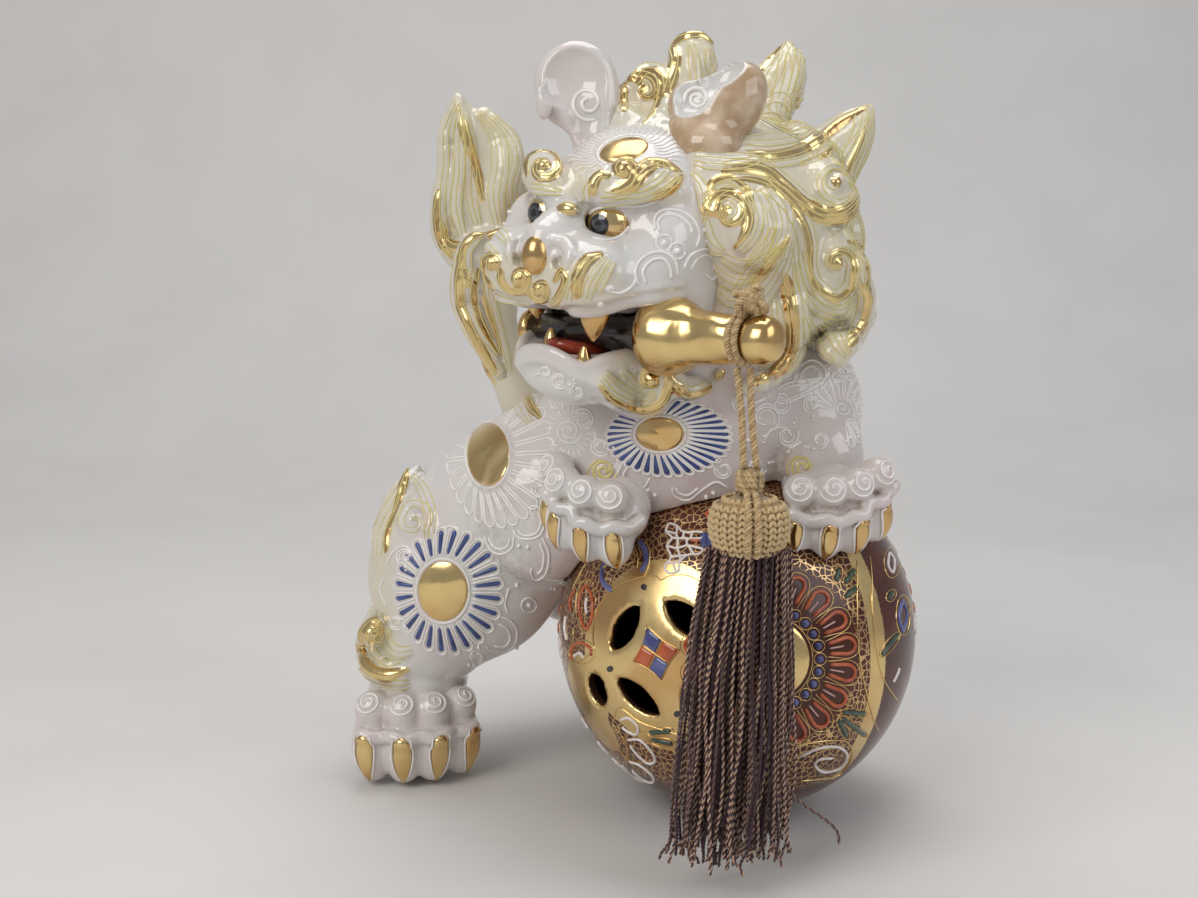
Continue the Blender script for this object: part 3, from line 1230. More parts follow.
# Stations of the tail: x, y, z, half its width and half its thickness, in millimetres
TAIL = (
    (-30, 56, 146, 9, 9), (-37, 54, 166, 9, 8), (-44, 50, 188, 9, 7.5), (-47, 47, 212, 14, 8),
    (-45, 45, 236, 17, 8), (-47, 43, 256, 13, 6), (-54, 41, 272, 6.5, 4.5), (-57, 40, 282, 1.6, 1.6),
)
TAIL_SWELLS = (
    ([(452, 258), (442, 235), (441, 205), (446, 170), (446, 130), (457, 98)], (3, 4.5, 4.5, 4, 3.5, 1.5)),
    ([(470, 240), (461, 215), (462, 180), (466, 150), (462, 120), (459, 100)], (2, 3.5, 4, 4, 3, 1.5)),
    ([(500, 228), (500, 200), (507, 170), (504, 142), (484, 116)], (3, 5.5, 7, 7, 4)),
    ([(446, 250), (462, 248), (482, 238), (505, 232)], (3, 4, 4, 3)),
)
TAIL_LOCKS = (
    ([(449, 240), (445, 205), (449, 165), (449, 130), (459, 102)], 2, 1.2),
    ([(462, 235), (456, 205), (459, 170), (459, 135), (460, 108)], 2, 1.2),
    ([(461, 118), (467, 140), (476, 170), (483, 200)], 1, 2.3, (0,)),
    ([(478, 225), (472, 200), (471, 170), (470, 140), (465, 115)], 2, 1.2),
    ([(500, 225), (496, 195), (500, 165), (496, 135), (478, 112)], 3, 1.3),
    ([(515, 215), (512, 185), (518, 160), (510, 135), (492, 115)], 2, 1.3),
    ([(441, 222), (446, 242), (462, 248), (482, 240), (506, 230)], 1, 2.4, (0,)),
    ([(439, 190), (437, 215), (441, 240), (452, 258)], 1, 1.8, (0,)),
    ([(455, 262), (470, 262), (490, 256), (508, 248)], 2, 1.3),
    ([(500, 372), (490, 330), (478, 290), (474, 268)], 2, 1.4, (1,)),
    ([(495, 384), (483, 362), (471, 334), (463, 306), (458, 280)], 1, 2.0, (0,)),
    ([(508, 372), (500, 340), (490, 300), (486, 276)], 2, 1.2),
)


def make_tail():
    """The tail: a flat flame with a side lobe, ribbed along its length, gilded along some ribs."""
    rows = smooth(at(TAIL), 22)
    clay = Clay((-90, 4, 134), (-8, 62, 292), 0.9)
    clay.tube(rows[:, :3], rows[:, 4], 4, flat=(FRAME_RIGHT, rows[:, 4] / rows[:, 3]), reach=8)
    for path, radii in TAIL_SWELLS:
        swell(clay, PHOTO, path, radii, 2.5, 0.2)
    base, gilt, trails = clay.copy(), clay.twin(), []
    lay_locks(clay, base, gilt, TAIL_LOCKS, 2.2, trails)
    behind = Sight(at((-46, 45, 215)), (0, 1, 0))
    for shift, gold in ((-10, ()), (-5, (0,)), (0, ()), (5, ()), (10, (0,))):
        path = [
            (shift * 0.4 - 14, 62), (shift * 0.7 - 6, 34), (shift + 1, 4), (shift, -22),
            (shift * 0.4 + 6, -48),
            (10, -66),
        ]
        lay_lock(clay, base, gilt, behind, path, 1, 1.5, gold, spacing=2.2, trails=trails)
    clay_piece("tail", clay, ["tail"], gilt, lambda spots: {"ivory": 0.72})
    lay_trails("tail_lines", clay, trails)


# Head


def lip_height(left):
    """The upper lip's edge: u = -28 + 9.5 (l / 28)^2, a little wavy."""
    return -28.0 + 9.5 * (left / 28) ** 2 + 0.7 * np.cos(left * 0.45)


BROW_CURLS = (
    ([(592, 194), (594, 182), (600, 175), (608, 176)], 1, 1.5, (0,)),
    ([(612, 192), (622, 188), (631, 180), (634, 168)], 1, 1.7, (0,), ((624, 170), 0.9, -1)),
    ([(630, 192), (639, 179), (648, 169), (661, 163)], 1, 1.6, (0,)),
    ([(600, 203), (620, 200), (645, 196), (664, 186), (680, 174)], 2, 1.3),
    ([(640, 190), (655, 182), (668, 170), (664, 162)], 1, 1.2),
    ([(638, 171), (649, 163), (664, 164), (680, 173)], 1, 1.7, (0,)),
    ([(648, 198), (662, 193), (674, 184), (681, 176)], 1, 1.6, (0,)),
    ([(587, 201), (586, 190), (590, 181)], 1, 1.4),
    ([(604, 194), (618, 196), (630, 194)], 1, 1.3),
)
MUZZLE_CURLS = (
    ([(482, 232), (477, 250), (480, 273)], 1, 1.3, (0,)),
    ([(493, 290), (486, 276), (484, 262)], 1, 1.3, (0,), ((492, 263), 1.0, 1)),
    ([(501, 270), (502, 282), (511, 290), (523, 290), (528, 281)], 1, 1.5, (0,), ((519, 279), 0.7, -1)),
    ([(530, 288), (534, 298), (543, 299), (547, 290)], 1, 1.3, (0,), ((540, 289), 0.6, -1)),
    ([(551, 307), (560, 296), (566, 281), (562, 272), (555, 281)], 1, 1.3, (0,)),
    ([(577, 297), (578, 278), (586, 262), (600, 255)], 1, 1.9, (0,)),
    ([(586, 299), (592, 280), (608, 257)], 2, 1.0),
    ([(484, 226), (500, 232), (508, 243)], 2, 1.0),
    ([(566, 300), (570, 286), (580, 270), (590, 258)], 2, 1.1),
    ([(598, 293), (606, 276), (614, 262)], 1, 1.1),
    ([(494, 296), (504, 300), (518, 302), (530, 304)], 1, 1.1),
    ([(478, 240), (488, 246), (498, 256)], 1, 1.2),
)


FAR_BROW_CURLS = (
    ([(527, 176), (526, 163), (533, 152), (546, 148), (556, 156)], 1, 1.6, (0,), ((544, 166), 1.2, 1)),
    ([(530, 188), (545, 190), (562, 192)], 2, 1.2),
)
NOSTRIL_WINGS = (
    ([(553, 240), (565, 243), (571, 253), (567, 265)], (1.6, 2.4, 2.4, 1.4), (556, 262)),
    ([(522, 236), (514, 242), (510, 252), (513, 263)], (1.4, 2.0, 2.0, 1.2), (519, 260)),
)
BETWEEN_BROWS = (568, 209)
# Forward, to the side, up and a radius, in the head's axes
MUZZLE = ((12, 0, -7, 24), (26, 0, -8, 24), (38, 0, -10, 20), (43, 0, -12, 16))
MUZZLE_FLAT = 0.72
BRIDGE = ((16, 0, 16, 12), (30, 0, 9, 9), (42, 0, 3, 8), (50, 0, 0, 6.5))
BROW = ((38, 4.5, 14, 5), (36.5, 11, 18.5, 7.2), (30, 20, 20.5, 7.5), (18, 29, 18.5, 4.5))
CHEEKS = (
    ((40, 15, -11), (15.5, 15.5, 14), 5), ((8, 24, -13), (20, 18, 17), 7), ((18, 30, 2), (13, 10, 12), 6),
    ((-3, 29, -30), (12, 11, 17), 6), ((21, 31, -6), (12, 9, 11), 4), ((27, 27.5, -10), (10.5, 8.5, 11), 6),
    ((27, 24.5, -2), (8.5, 7, 6), 5),
)
EYE_SOCKET = (33.0, 13.5, 7.2)


def make_face():
    """The face: muzzle, cheeks, brows, eyelids and lips, with the mouth cut below the lip."""
    clay = Clay((-34, -52, -36), (66, 52, 50), 0.8, HEAD_AXES, HEAD_ORIGIN)
    clay.egg((-18, 2, 3), (58, 42, 41), 6)
    muzzle = smooth(MUZZLE, 8)
    clay.tube(muzzle[:, :3], muzzle[:, 3] * MUZZLE_FLAT, 6, flat=(HEAD_LEFT, MUZZLE_FLAT))
    bridge = smooth(BRIDGE, 8)
    clay.tube(bridge[:, :3], bridge[:, 3], 7)
    s = np.linspace(0, 1, 14)
    arch = np.sin(math.pi * s)
    for side in (-1, 1):
        for centre, radii, blend in CHEEKS:
            clay.egg(np.array(centre) * (1, side, 1), radii, blend)
        clay.egg(np.array(EYE_SOCKET) * (1, side, 1), (7.9, 8.0, 6.8), 2.2, carve=True)
        brow = smooth(np.array(BROW) * (1, side, 1, 1), 12)
        clay.tube(brow[:, :3], brow[:, 3], 3)
        lid = np.stack([31 + 9.4 * arch - 7 * s, side * (3.5 + 20 * s), 7.2 + 6.2 * arch**0.8 - 1.5 * s], 1)
        clay.tube(lid, 1.7, 1.6)
        under = np.stack([31 + 7.4 * arch - 6 * s, side * (4.5 + 18 * s), 5.5 - 6.2 * arch + 2 * s], 1)
        clay.tube(under, 2.0, 2.2)
    clay.egg((53.6, 0.6, -5), (3.5, 5, 5), 2)
    for wing, radii, nostril in NOSTRIL_WINGS:
        swell(clay, PHOTO, wing, radii, 1.2, -0.15)
        hole, _ = clay.meet(*PHOTO.rays([nostril]))
        clay.egg(clay.inward(hole)[0], (2.6, 1.8, 2.2), 1.0, carve=True)
    lips = clay.copy()
    clay.cut(lambda f, l, u: np.maximum(np.maximum(u - lip_height(l), 4 - f), np.abs(l) - 29), 1.2)
    left = np.linspace(-31, 31, 60)
    level = np.zeros(60)
    front = np.interp(np.abs(left), (0, 8, 16, 22, 27, 31), (49.5, 50.5, 49.5, 42, 30, 17))
    way = unit(np.stack([front, left, level], 1))
    for rise, radius in ((0.8, 2.6), (5.4, 1.3)):
        outer = lips.outward(np.stack([level, level, lip_height(left) + rise], 1) + way * 75)
        ends, ways = lips.meet(outer, np.broadcast_to(-(way @ HEAD_AXES), outer.shape))
        clay.tube(clay.inward(ends - ways * radius * 0.45), radius, 1.6)
    base, gilt, trails = clay.copy(), clay.twin(), []
    lay_locks(clay, base, gilt, BROW_CURLS + MUZZLE_CURLS, 1.9, trails, (0.9, 0.5), 1.3)
    lay_locks(clay, base, gilt, FAR_BROW_CURLS, 1.8, trails, (0.9, 0.5))
    CLAYS["face"] = base
    disc = base.inward(base.meet(*PHOTO.rays([BETWEEN_BROWS]))[0])[0]
    clay.egg(disc, (3.2, 4.4, 2.4), 1.0)
    gilt.egg(disc, (3.2, 4.0, 2.2), 0.01)

    def tints(spots):
        f, l, u = spots.T
        inside = ease(-1.6, -3.4, lips.read(spots)) * ease(lip_height(l) + 2.5, lip_height(l) + 1.0, u)
        blush = 0.2 * ease(-12, -24, u) * ease(5, 30, f)
        brows = 0.75 * ease(13.5, 17, u) * ease(28, 24, u) * ease(14, 24, f)
        beard = 0.7 * ease(41, 48, f) * ease(-3, -9, u) * ease(-25, -21, u)
        return {"dark": inside, "rose": np.clip(blush, 0, 1), "ivory": np.clip(brows + beard, 0, 1)}

    clay_piece("face", clay, ["head", "left_brow", "right_brow"], gilt, tints)
    lay_trails("face_lines", clay, trails)


# Forward, to the side, up, half the width and half the height, in the head's axes
JAW = ((0, 0, -41, 25, 11), (12, 0, -42.5, 25.5, 11), (24, 0, -44.5, 23, 9.5), (34, 0, -45.5, 18, 8))
JAW_SWELLS = (
    ([(600, 380), (614, 394), (634, 403), (654, 400), (666, 384)], (3, 5, 6, 5.5, 4)),
    ([(668, 378), (684, 388), (704, 384), (720, 372)], (4, 4.5, 4.5, 2)),
)
BEARD_LOCKS = (
    ([(600, 386), (618, 402), (642, 410), (662, 402), (670, 384)], 1, 1.9, (0,), ((652, 380), 0.9, -1)),
    ([(604, 376), (620, 392), (640, 400), (656, 394)], 3, 1.2),
    ([(622, 372), (632, 384), (644, 390)], 2, 1.1),
    ([(674, 382), (690, 392), (708, 386), (722, 372)], 2, 1.5, (1,)),
)
FAR_BEARD_LOCK = ((-12, -2), (-8, 9), (2, 11), (8, 3))  # millimetres, seen from the far side


def make_jaw():
    """The lower jaw with its bowl, wavy lip and the beard curls under the mouth's corners."""
    clay = Clay((-10, -44, -74), (54, 44, -14), 0.75, HEAD_AXES, HEAD_ORIGIN)
    jaw = smooth(JAW, 9)
    clay.tube(jaw[:, :3], jaw[:, 4], 4, flat=(HEAD_LEFT, jaw[:, 4] / jaw[:, 3]), reach=8)
    clay.tube([(10, 0, -50), (30, 0, -50)], [11, 9], 8, flat=(HEAD_LEFT, 0.6))
    for side in (-1, 1):
        clay.egg((8, side * 23.5, -46), (9, 8, 9.5), 5)
    whole = clay.copy()
    clay.egg((26, 0, -33), (20, 17, 9.5), 1.5, carve=True)
    s = np.linspace(-1, 1, 50)
    dips = 2.2 * np.exp(-(((np.abs(s) - 0.42) / 0.13) ** 2))
    rim = np.stack([
        44.5 - 40 * np.abs(s) ** 2.6,
        23.6 * np.sin(s * math.pi / 2 * 0.98),
        -39.6 + 1.0 * np.cos(s * math.pi * 2.6) - dips + 3.2 * s**4,
    ], 1)
    clay.tube(rim, 1.9, 1.6)
    clay.tube(rim - (2.4, 0, 3.2), 3.0, 3)
    clay.tube(rim * (1.0, 1.03, 1) - (0.6, 0, 3.6), 1.5, 1.4)
    for path, radii in JAW_SWELLS:
        swell(clay, PHOTO, path, radii, 3)
    base, gilt, trails = clay.copy(), clay.twin(), []
    lay_locks(clay, base, gilt, BEARD_LOCKS, 2.0, trails)
    far = Sight(from_head((8, -30, -44)), np.array([0.5, -1, -0.1]) @ HEAD_AXES)
    lay_lock(clay, base, gilt, far, FAR_BEARD_LOCK, 3, 1.3, (0,), ((0, 1), 1.0, -1), spacing=2.2)
    CLAYS["jaw"] = base

    def tints(spots):
        _, l, u = spots.T
        beard = ease(17, 23, np.abs(l)) * 0.6
        dark = ease(-1.8, -4.2, whole.read(spots))
        return {"dark": dark, "rose": 0.2 * ease(-50, -38, u) * (1 - beard), "ivory": beard}

    clay_piece("jaw", clay, ["lower_jaw", "left_beard_curl", "right_beard_curl"], gilt, tints)
    lay_trails("jaw_lines", clay, trails)


CURLS = (
    (58, 9, 13), (100, 26, 13), (95, -6, 13), (76, -32, 11), (108, -30, 11), (125, 48, 12), (10, 74, 11),
    (250, 52, 11), (282, 8, 12), (262, -28, 11), (225, 8, 14), (140, 2, 14), (182, 28, 14), (184, -18, 13),
)
CRESTS = (
    [(24, -2, 266, 13), (31, 2, 282, 10.4), (35.6, 4, 291, 9.0), (36.4, 5, 295.5, 7.2)],
    [(56, 8, 262, 15), (64, 11, 277, 11.5), (72, 14, 288, 8.0), (73, 15, 297.5, 2.0)],
    [(82, 10, 248, 15), (92, 12, 259, 11.5), (99, 12, 267, 7), (104, 12, 274, 1.8)],
)
MANE_CENTRE = np.array([-33.0, 6.0, 2.0])
MANE_RADII = np.array([62.0, 58.0, 49.0])
MANE_LOCKS = (
    # crests
    ([(649, 122), (661, 102), (670, 81), (675, 60), (673, 46), (684, 37), (701, 35), (713, 43)], 1, 2.6,
     (0,)),
    ([(690, 108), (696, 84), (694, 62), (690, 42)], 2, 1.3),
    ([(722, 88), (712, 66), (708, 48)], 2, 1.3),
    ([(744, 84), (760, 66), (774, 50), (784, 38)], 2, 1.3, (1,)),
    ([(766, 92), (776, 70), (784, 50)], 2, 1.3),
    ([(792, 92), (798, 70), (794, 50), (787, 38)], 2, 1.3),
    ([(748, 153), (772, 156), (800, 150), (822, 137), (842, 121), (866, 108)], 1, 2.6, (0,)),
    ([(756, 162), (776, 164), (802, 160), (824, 148), (842, 134)], 1, 1.4),
    ([(800, 168), (828, 160), (846, 142), (866, 116)], 3, 1.3),
    ([(744, 140), (768, 140), (796, 136), (816, 126)], 2, 1.2),
    ([(760, 130), (786, 129), (806, 120), (813, 105), (804, 94), (792, 98)], 2, 1.3, (0,),
     ((797, 105), 0.6, -1)),
    # crown beside the far ear
    ([(640, 130), (656, 116), (664, 92), (660, 72), (646, 68), (634, 80)], 2, 1.4, (0,), ((645, 90), 0.9, 1)),
    ([(622, 112), (620, 98), (624, 84)], 2, 1.2, (1,)),
    ([(694, 158), (712, 160), (738, 161), (768, 156)], 3, 1.3),
    ([(690, 172), (700, 186), (704, 204), (702, 224)], 2, 1.2),
    # side of the mane
    ([(828, 160), (846, 164), (857, 178), (854, 194), (840, 202), (826, 196)], 1, 1.8, (),
     ((838, 180), 0.9, 1)),
    ([(801, 199), (819, 211), (840, 211), (855, 199), (861, 181), (853, 166)], 1, 2.8, (0,)),
    ([(722, 168), (742, 166), (766, 170), (784, 184), (804, 202), (826, 214), (848, 210), (860, 195),
      (858, 176), (846, 165)],
     3, 1.5, (1, 2), ((835, 183), 1.0, -1)),
    ([(724, 182), (748, 181), (772, 189), (791, 205), (803, 226), (808, 246), (808, 266), (816, 286),
      (834, 298), (850, 288), (853, 270)],
     3, 1.5, (1,), ((837, 264), 0.8, -1)),
    ([(706, 196), (716, 182), (732, 180), (748, 194), (754, 214)], 1, 1.9, (0,)),
    ([(738, 250), (750, 236), (755, 216), (746, 196), (730, 188), (716, 196), (711, 212)], 3, 1.4, (0,),
     ((728, 212), 1.1, 1)),
    ([(722, 256), (740, 266), (760, 262), (778, 248)], 2, 1.2),
    ([(764, 184), (779, 202), (785, 222), (779, 244), (764, 262)], 3, 1.3),
    ([(702, 216), (703, 232), (711, 246), (724, 253)], 3, 1.3),
    ([(748, 268), (760, 252), (768, 232), (766, 206)], 2, 1.3),
    ([(712, 268), (728, 282), (744, 284), (756, 274)], 2, 1.3),
    ([(716, 288), (730, 300), (744, 298)], 2, 1.2),
    ([(750, 286), (762, 274), (774, 258), (789, 238)], 2, 1.8, (0,)),
    ([(736, 292), (752, 270), (766, 246), (776, 226)], 2, 1.2),
    ([(738, 308), (756, 300), (770, 286), (784, 262), (792, 238)], 3, 1.2),
    ([(784, 272), (789, 298), (793, 326), (791, 350), (778, 370), (756, 382)], 1, 2.6, (0,)),
    ([(796, 262), (800, 290), (804, 320), (802, 348), (790, 372)], 2, 1.3),
    ([(776, 300), (778, 326), (774, 350), (760, 366)], 2, 1.3),
    ([(800, 250), (806, 282), (820, 306), (842, 312), (856, 300)], 3, 1.4),
    ([(846, 244), (858, 252), (864, 270), (866, 290)], 2, 1.4, (0,)),
    ([(856, 282), (864, 296), (862, 314), (854, 332), (846, 346)], 2, 1.9, (0,)),
    ([(822, 322), (834, 330), (842, 344), (848, 356)], 3, 1.3),
    ([(806, 316), (812, 336), (820, 352), (834, 362)], 2, 1.2),
    # far side, behind the muzzle
    ([(476, 288), (467, 272), (466, 252), (474, 240), (483, 236)], 2, 1.6, (0,)),
    ([(462, 252), (456, 280), (458, 306), (474, 340), (496, 376)], 2, 1.5, (0,)),
    ([(478, 268), (474, 296), (482, 326), (500, 356)], 3, 1.3, (1,)),
    ([(496, 378), (510, 366), (520, 350)], 2, 1.3),
)
MANE_SWELLS = (
    ([(818, 294), (832, 312), (840, 332), (838, 350)], (7, 8.5, 8, 4)),
    ([(626, 122), (630, 100), (644, 82), (660, 82), (668, 96)], (5, 5.5, 6, 5, 3)),
    ([(470, 290), (465, 268), (469, 248), (479, 240)], (3, 4, 4, 2.5)),
    ([(784, 268), (790, 300), (793, 330), (788, 356), (770, 376), (746, 388)], (3.5, 5.5, 6, 5.5, 4.5, 3)),
    ([(850, 270), (858, 292), (858, 316), (850, 340), (842, 354)], (6, 6.5, 6, 5, 2.5)),
    ([(812, 318), (826, 340), (838, 360)], (5, 5, 2.5)),
    ([(469, 262), (466, 300), (480, 336), (499, 374)], (4.5, 5, 5, 2.5)),
)
# Around and above in degrees, heading in degrees, way of the coil, gilded or not
BACK_LOCKS = (
    (116, 34, 200, 1, 1), (140, 2, 130, -1, 1), (128, -26, 160, 1, 0), (150, 34, 60, 1, 0),
    (182, 30, 90, -1, 1), (176, 4, 120, 1, 0), (186, -20, 100, -1, 1), (212, 40, 120, 1, 0),
    (225, 8, 60, 1, 1), (214, -24, 40, -1, 0), (250, 50, 60, -1, 0), (256, 20, 30, 1, 0), (282, 8, 10, -1, 1),
    (262, -28, 20, 1, 1), (240, -20, 150, 1, 0), (160, -34, 100, 1, 0), (200, 62, 80, 1, 1),
    (120, 62, 120, -1, 0), (108, 8, 170, 1, 0), (155, 58, 40, 1, 0),
)


def on_mane(around, above):
    """A point on the mane's ruff and the way out there, in the head's axes, by degrees."""
    turn, rise = math.radians(around), math.radians(above)
    way = np.array([math.cos(rise) * math.cos(turn), math.cos(rise) * math.sin(turn), math.sin(rise)])
    return MANE_CENTRE + MANE_RADII * way, unit(way / MANE_RADII)


FAR_LOCK = ((-10, -44, -12, 9), (6, -50, -16, 8), (16, -54, -15, 6.5), (21, -56, -10, 4.5),
            (21.5, -55.5, -6, 2))
BACK_LOCK_FLOW = ((-30, 6), (-18, -2), (-6, -9), (6, -8), (10, -1))  # along the lock and to its bend, in mm
MANE_NODES = (
    "mane", "cheek_curl", "upper_side_curl", "lower_side_curl", "cheek_lock", "side_lock", "crown_curl",
    "top_curl", "right_top_curl", "right_side_curl", "right_low_curl", "right_back_curl", "left_back_curl",
    "back_curl", "low_back_curl", "front_crest", "middle_crest", "back_crest",
)


def make_mane():
    """The mane: a ruff with swelling curls and three flame crests, under ribbed locks that end in coils."""
    clay = Clay((-104, -70, -66), (32, 86, 92), 0.9, HEAD_AXES, HEAD_ORIGIN)
    clay.egg(MANE_CENTRE, MANE_RADII - 1.0, 4)
    for around, above, radius in CURLS:
        place, way = on_mane(around, above)
        side = unit(np.cross((0, 0, 1.0), way))
        clay.egg(place, (radius, radius, 5.0), 5, [side, np.cross(way, side), way])
    for rows in CRESTS:
        crest = smooth(at(rows), 12)
        clay.tube(clay.inward(crest[:, :3]), crest[:, 3], 5, reach=9)
    clay.cut(lambda f, l, u: 3.5 - f + 8 * ease(-14, 8, u) * ease(20, 34, l) + 4 * ease(20, 44, u), 6.0)
    far_lock = smooth(FAR_LOCK, 14)
    clay.tube(far_lock[:, :3], far_lock[:, 3], 4)
    for path, radii in MANE_SWELLS:
        swell(clay, PHOTO, path, radii)
    base, gilt, trails = clay.copy(), clay.twin(), []
    lay_locks(clay, base, gilt, MANE_LOCKS, 2.3, trails)
    for around, above, heading, way, gilded in BACK_LOCKS:
        place, out = on_mane(around, above)
        sight = Sight(clay.outward(place), out @ HEAD_AXES, (0, 0, 1) if above < 70 else (0, 1, 0), 40)
        turn = math.radians(heading)
        flow = np.array([math.cos(turn), -math.sin(turn)])
        bend = np.array([-flow[1], flow[0]]) * way
        path = [flow * along + bend * aside for along, aside in BACK_LOCK_FLOW]
        gold = (1,) if gilded else ()
        lay_lock(clay, base, gilt, sight, path, 4, 1.5, gold, ((0.0, 0.0), 1.2, way), spacing=2.5,
                 trails=trails)
    clay_piece("mane", clay, MANE_NODES, gilt,
               lambda spots: {"ivory": 0.55 + 0.3 * ease(3, -16, spots[:, 0])})
    lay_trails("mane_lines", clay, trails)


# Each ear's coil as its middle, a pixel of the photograph, its radius and its start in degrees
EAR_COILS = {"left_ear": ((697, 99), 13, 160), "right_ear": ((588, 103), 18, 60)}
NEAR_EAR_AXES = ((0.66, 0, 0.75), (0, 1, 0), (-0.75, 0, 0.66))


def make_ears():
    """Two cupped ears: the far one a wide paddle open to the front, the near one a scoop with a tan back."""
    coils = Pile()
    near = Clay((-2, -86, 226), (66, -26, 300), 0.7)
    near.egg((34.5, -54, 270), (20, 12, 13.0), 3, NEAR_EAR_AXES)
    near.egg((24.5, -55, 262.5), (8.5, 9, 10.5), 4)
    near.egg((24, -50, 272), (8.5, 6.5, 9.0), 3)
    near.egg((29.5, -61, 257), (12, 10.5, 9), 5)
    near.tube([(27, -53, 258), (25, -50, 243)], [11, 9.5], 5)
    bowls = near.twin()
    bowls.egg((23.0, -61, 276.5), (8.6, 8.6, 9.2), 0.01)
    bowls.egg((33.5, -58, 283), (10, 8, 7), 2.0, NEAR_EAR_AXES)
    far = Clay((-46, -50, 240), (16, 4, 312), 0.7)
    far.egg((-17.6, -25, 281.5), (15.8, 6.5, 16.5), 3)
    far.egg((-8.5, -25, 271), (7.6, 6.0, 13), 4)
    far.tube([(-12, -25, 266), (-9, -27, 252)], [8, 9], 5)
    far.egg((-29.5, -31, 275), (3.2, 3.2, 6.5), 2.5)
    hollow = far.twin()
    hollow.egg((-18.2, -34.5, 284), (13.6, 9.6, 14.0), 0.01)
    hollow.egg((-13.5, -35, 270), (8.5, 8.6, 12), 3.0)
    for name, clay, bowl, tan in (("left_ear", near, bowls, 1.0), ("right_ear", far, hollow, 0.0)):
        clay.value = np.maximum(clay.value, -bowl.value)
        middle, radius, start = EAR_COILS[name]
        points, ways = clay.meet(*PHOTO.rays(coil_line(middle, radius, 1.6, start, 1, 0.2)))
        kept = longest_run(clay.passed < 1)
        if len(kept) > 5:
            coils.ridges(points[kept], ways[kept], 1.5, 0.8, 8)

        def tints(spots):
            back = ease(0.5, 1.6, bowl.read(spots)) * tan * ease(245, 252, spots[:, 2])
            return {"tan": back, "rose": 0.04 * (1 - back)}

        clay_piece(name, clay, [name], tints=tints)
    place_pile("ear_coils", coils, "figure", "slip")


def ball_grid(centre, radii, pole, rows=24, sides=40):
    """A closed ellipsoid as rings from pole to pole, with the first and last drawn in almost to a point."""
    pole = unit(np.array(pole, float))
    first = unit(np.cross(pole, (0.3, 0.2, 1.0)))
    angle = np.linspace(0.02, math.pi - 0.02, rows)[:, None, None]
    around = spun(round_turn(sides)[None, :, None], first, np.cross(pole, first))
    way = spun(angle, pole, around)
    return (np.array(centre) + way * np.array(radii))[None, ::-1], way[None, ::-1]


# Where each eye looks, as a pixel of the photograph
GAZES = ((1, "left", (598, 225)), (-1, "right", (533, 213)))
EYE_RADIUS = 7.9


def make_eyes():
    """Eyeballs with a gold white, a dark iris and a paler ring; gaze is the angle from where each looks."""
    for side, name, look in GAZES:
        centre = from_head((32.0, side * 13.5, 7.0))
        starts, ways = PHOTO.rays([look])
        reach = centre - starts[0]
        along = reach @ ways[0]
        drop = max(EYE_RADIUS**2 - (reach @ reach - along**2), 0)
        gaze = unit(starts[0] + ways[0] * (along - math.sqrt(drop)) - centre)
        rings, out = ball_grid(centre, [EYE_RADIUS] * 3, gaze, 40, 48)
        pile = Pile()
        pile.add_tubes(rings, gaze=np.degrees(np.arccos(np.clip(out.reshape(-1, 3) @ gaze, -1, 1))))
        place_pile(f"{name}_eyeball", pile, "figure", "eye", [f"{name}_eye"])


NOSE_RADII = (5.0, 5.2, 7.0)
# Forward, to the side, up and a radius, in the head's axes
FANGS = {
    "upper_fangs": ((40.5, 18.5, -21, 5.6), (41.6, 18.5, -25.5, 5.0), (41.4, 18.3, -30, 3.0),
                    (40.6, 18, -33.2, 0.5)),
    "lower_fangs": ((37.5, 13, -45, 3.6), (38, 13, -41, 3.1), (38.4, 13, -38, 2.0), (38.6, 13, -35.5, 0.6)),
}
FAR_FANG_SHIFT = (-8.0, 4.0, 2.6)
# Forward, to the side, up, half the width and half the height, in the head's axes
TONGUE = (
    (12, 0, -40.2, 9, 3.4), (24, 0, -39.6, 9.6, 3.6), (31, 0, -38.6, 9.2, 3.3), (36, 0, -37.6, 6.4, 2.6),
    (38.5, 0, -37.2, 2.4, 1.4),
)


def make_nose_and_teeth():
    """The gilded nose, the fangs and the tongue with its groove, 0.35 of its height deep."""
    nose = Pile()
    rings, _ = ball_grid((0, 0, 0), (1, 1, 1), (0, 0, 1), 28, 36)
    shape = rings[0] * NOSE_RADII
    shape[..., 1] *= 1 - 0.10 * np.sin(shape[..., 2] / 7.0 * 1.2)
    nose.add_tubes((shape @ HEAD_AXES + from_head((54.0, 0.8, -5.4)))[None])
    place_pile("nose_tip", nose, "figure", "gold", ["nose"])
    for name, rows in FANGS.items():
        pile = Pile()
        for side in (-1, 1):
            tooth = smooth(np.array(rows) * (1, side, 1, 1), 16)
            if side < 0:
                tooth[:, :3] += FAR_FANG_SHIFT
            turn = round_turn(20)
            ring = np.stack([np.cos(turn) * 0.9, side * np.sin(turn), np.zeros(20)], 1)
            ring = ring * tooth[:, 3, None, None]
            pile.add_tubes(from_head(tooth[:, None, :3] + ring)[None])
        place_pile(name, pile, "figure", "gold", [f"left_{name[:-1]}", f"right_{name[:-1]}"])
    rows = smooth(TONGUE, 24)
    turn = round_turn(32)
    groove = 1 - 0.35 * np.exp(-((np.cos(turn) / 0.3) ** 2)) * (np.sin(turn) > 0)
    rings = np.stack([np.zeros((24, 32)), np.cos(turn) * rows[:, 3:4], np.sin(turn) * groove * rows[:, 4:5]],
                     -1)
    tongue = Pile()
    tongue.add_tubes(from_head(rows[:, None, :3] + rings)[None])
    place_pile("tongue_piece", tongue, "figure", "tongue", ["tongue"])


# Rod and its caps


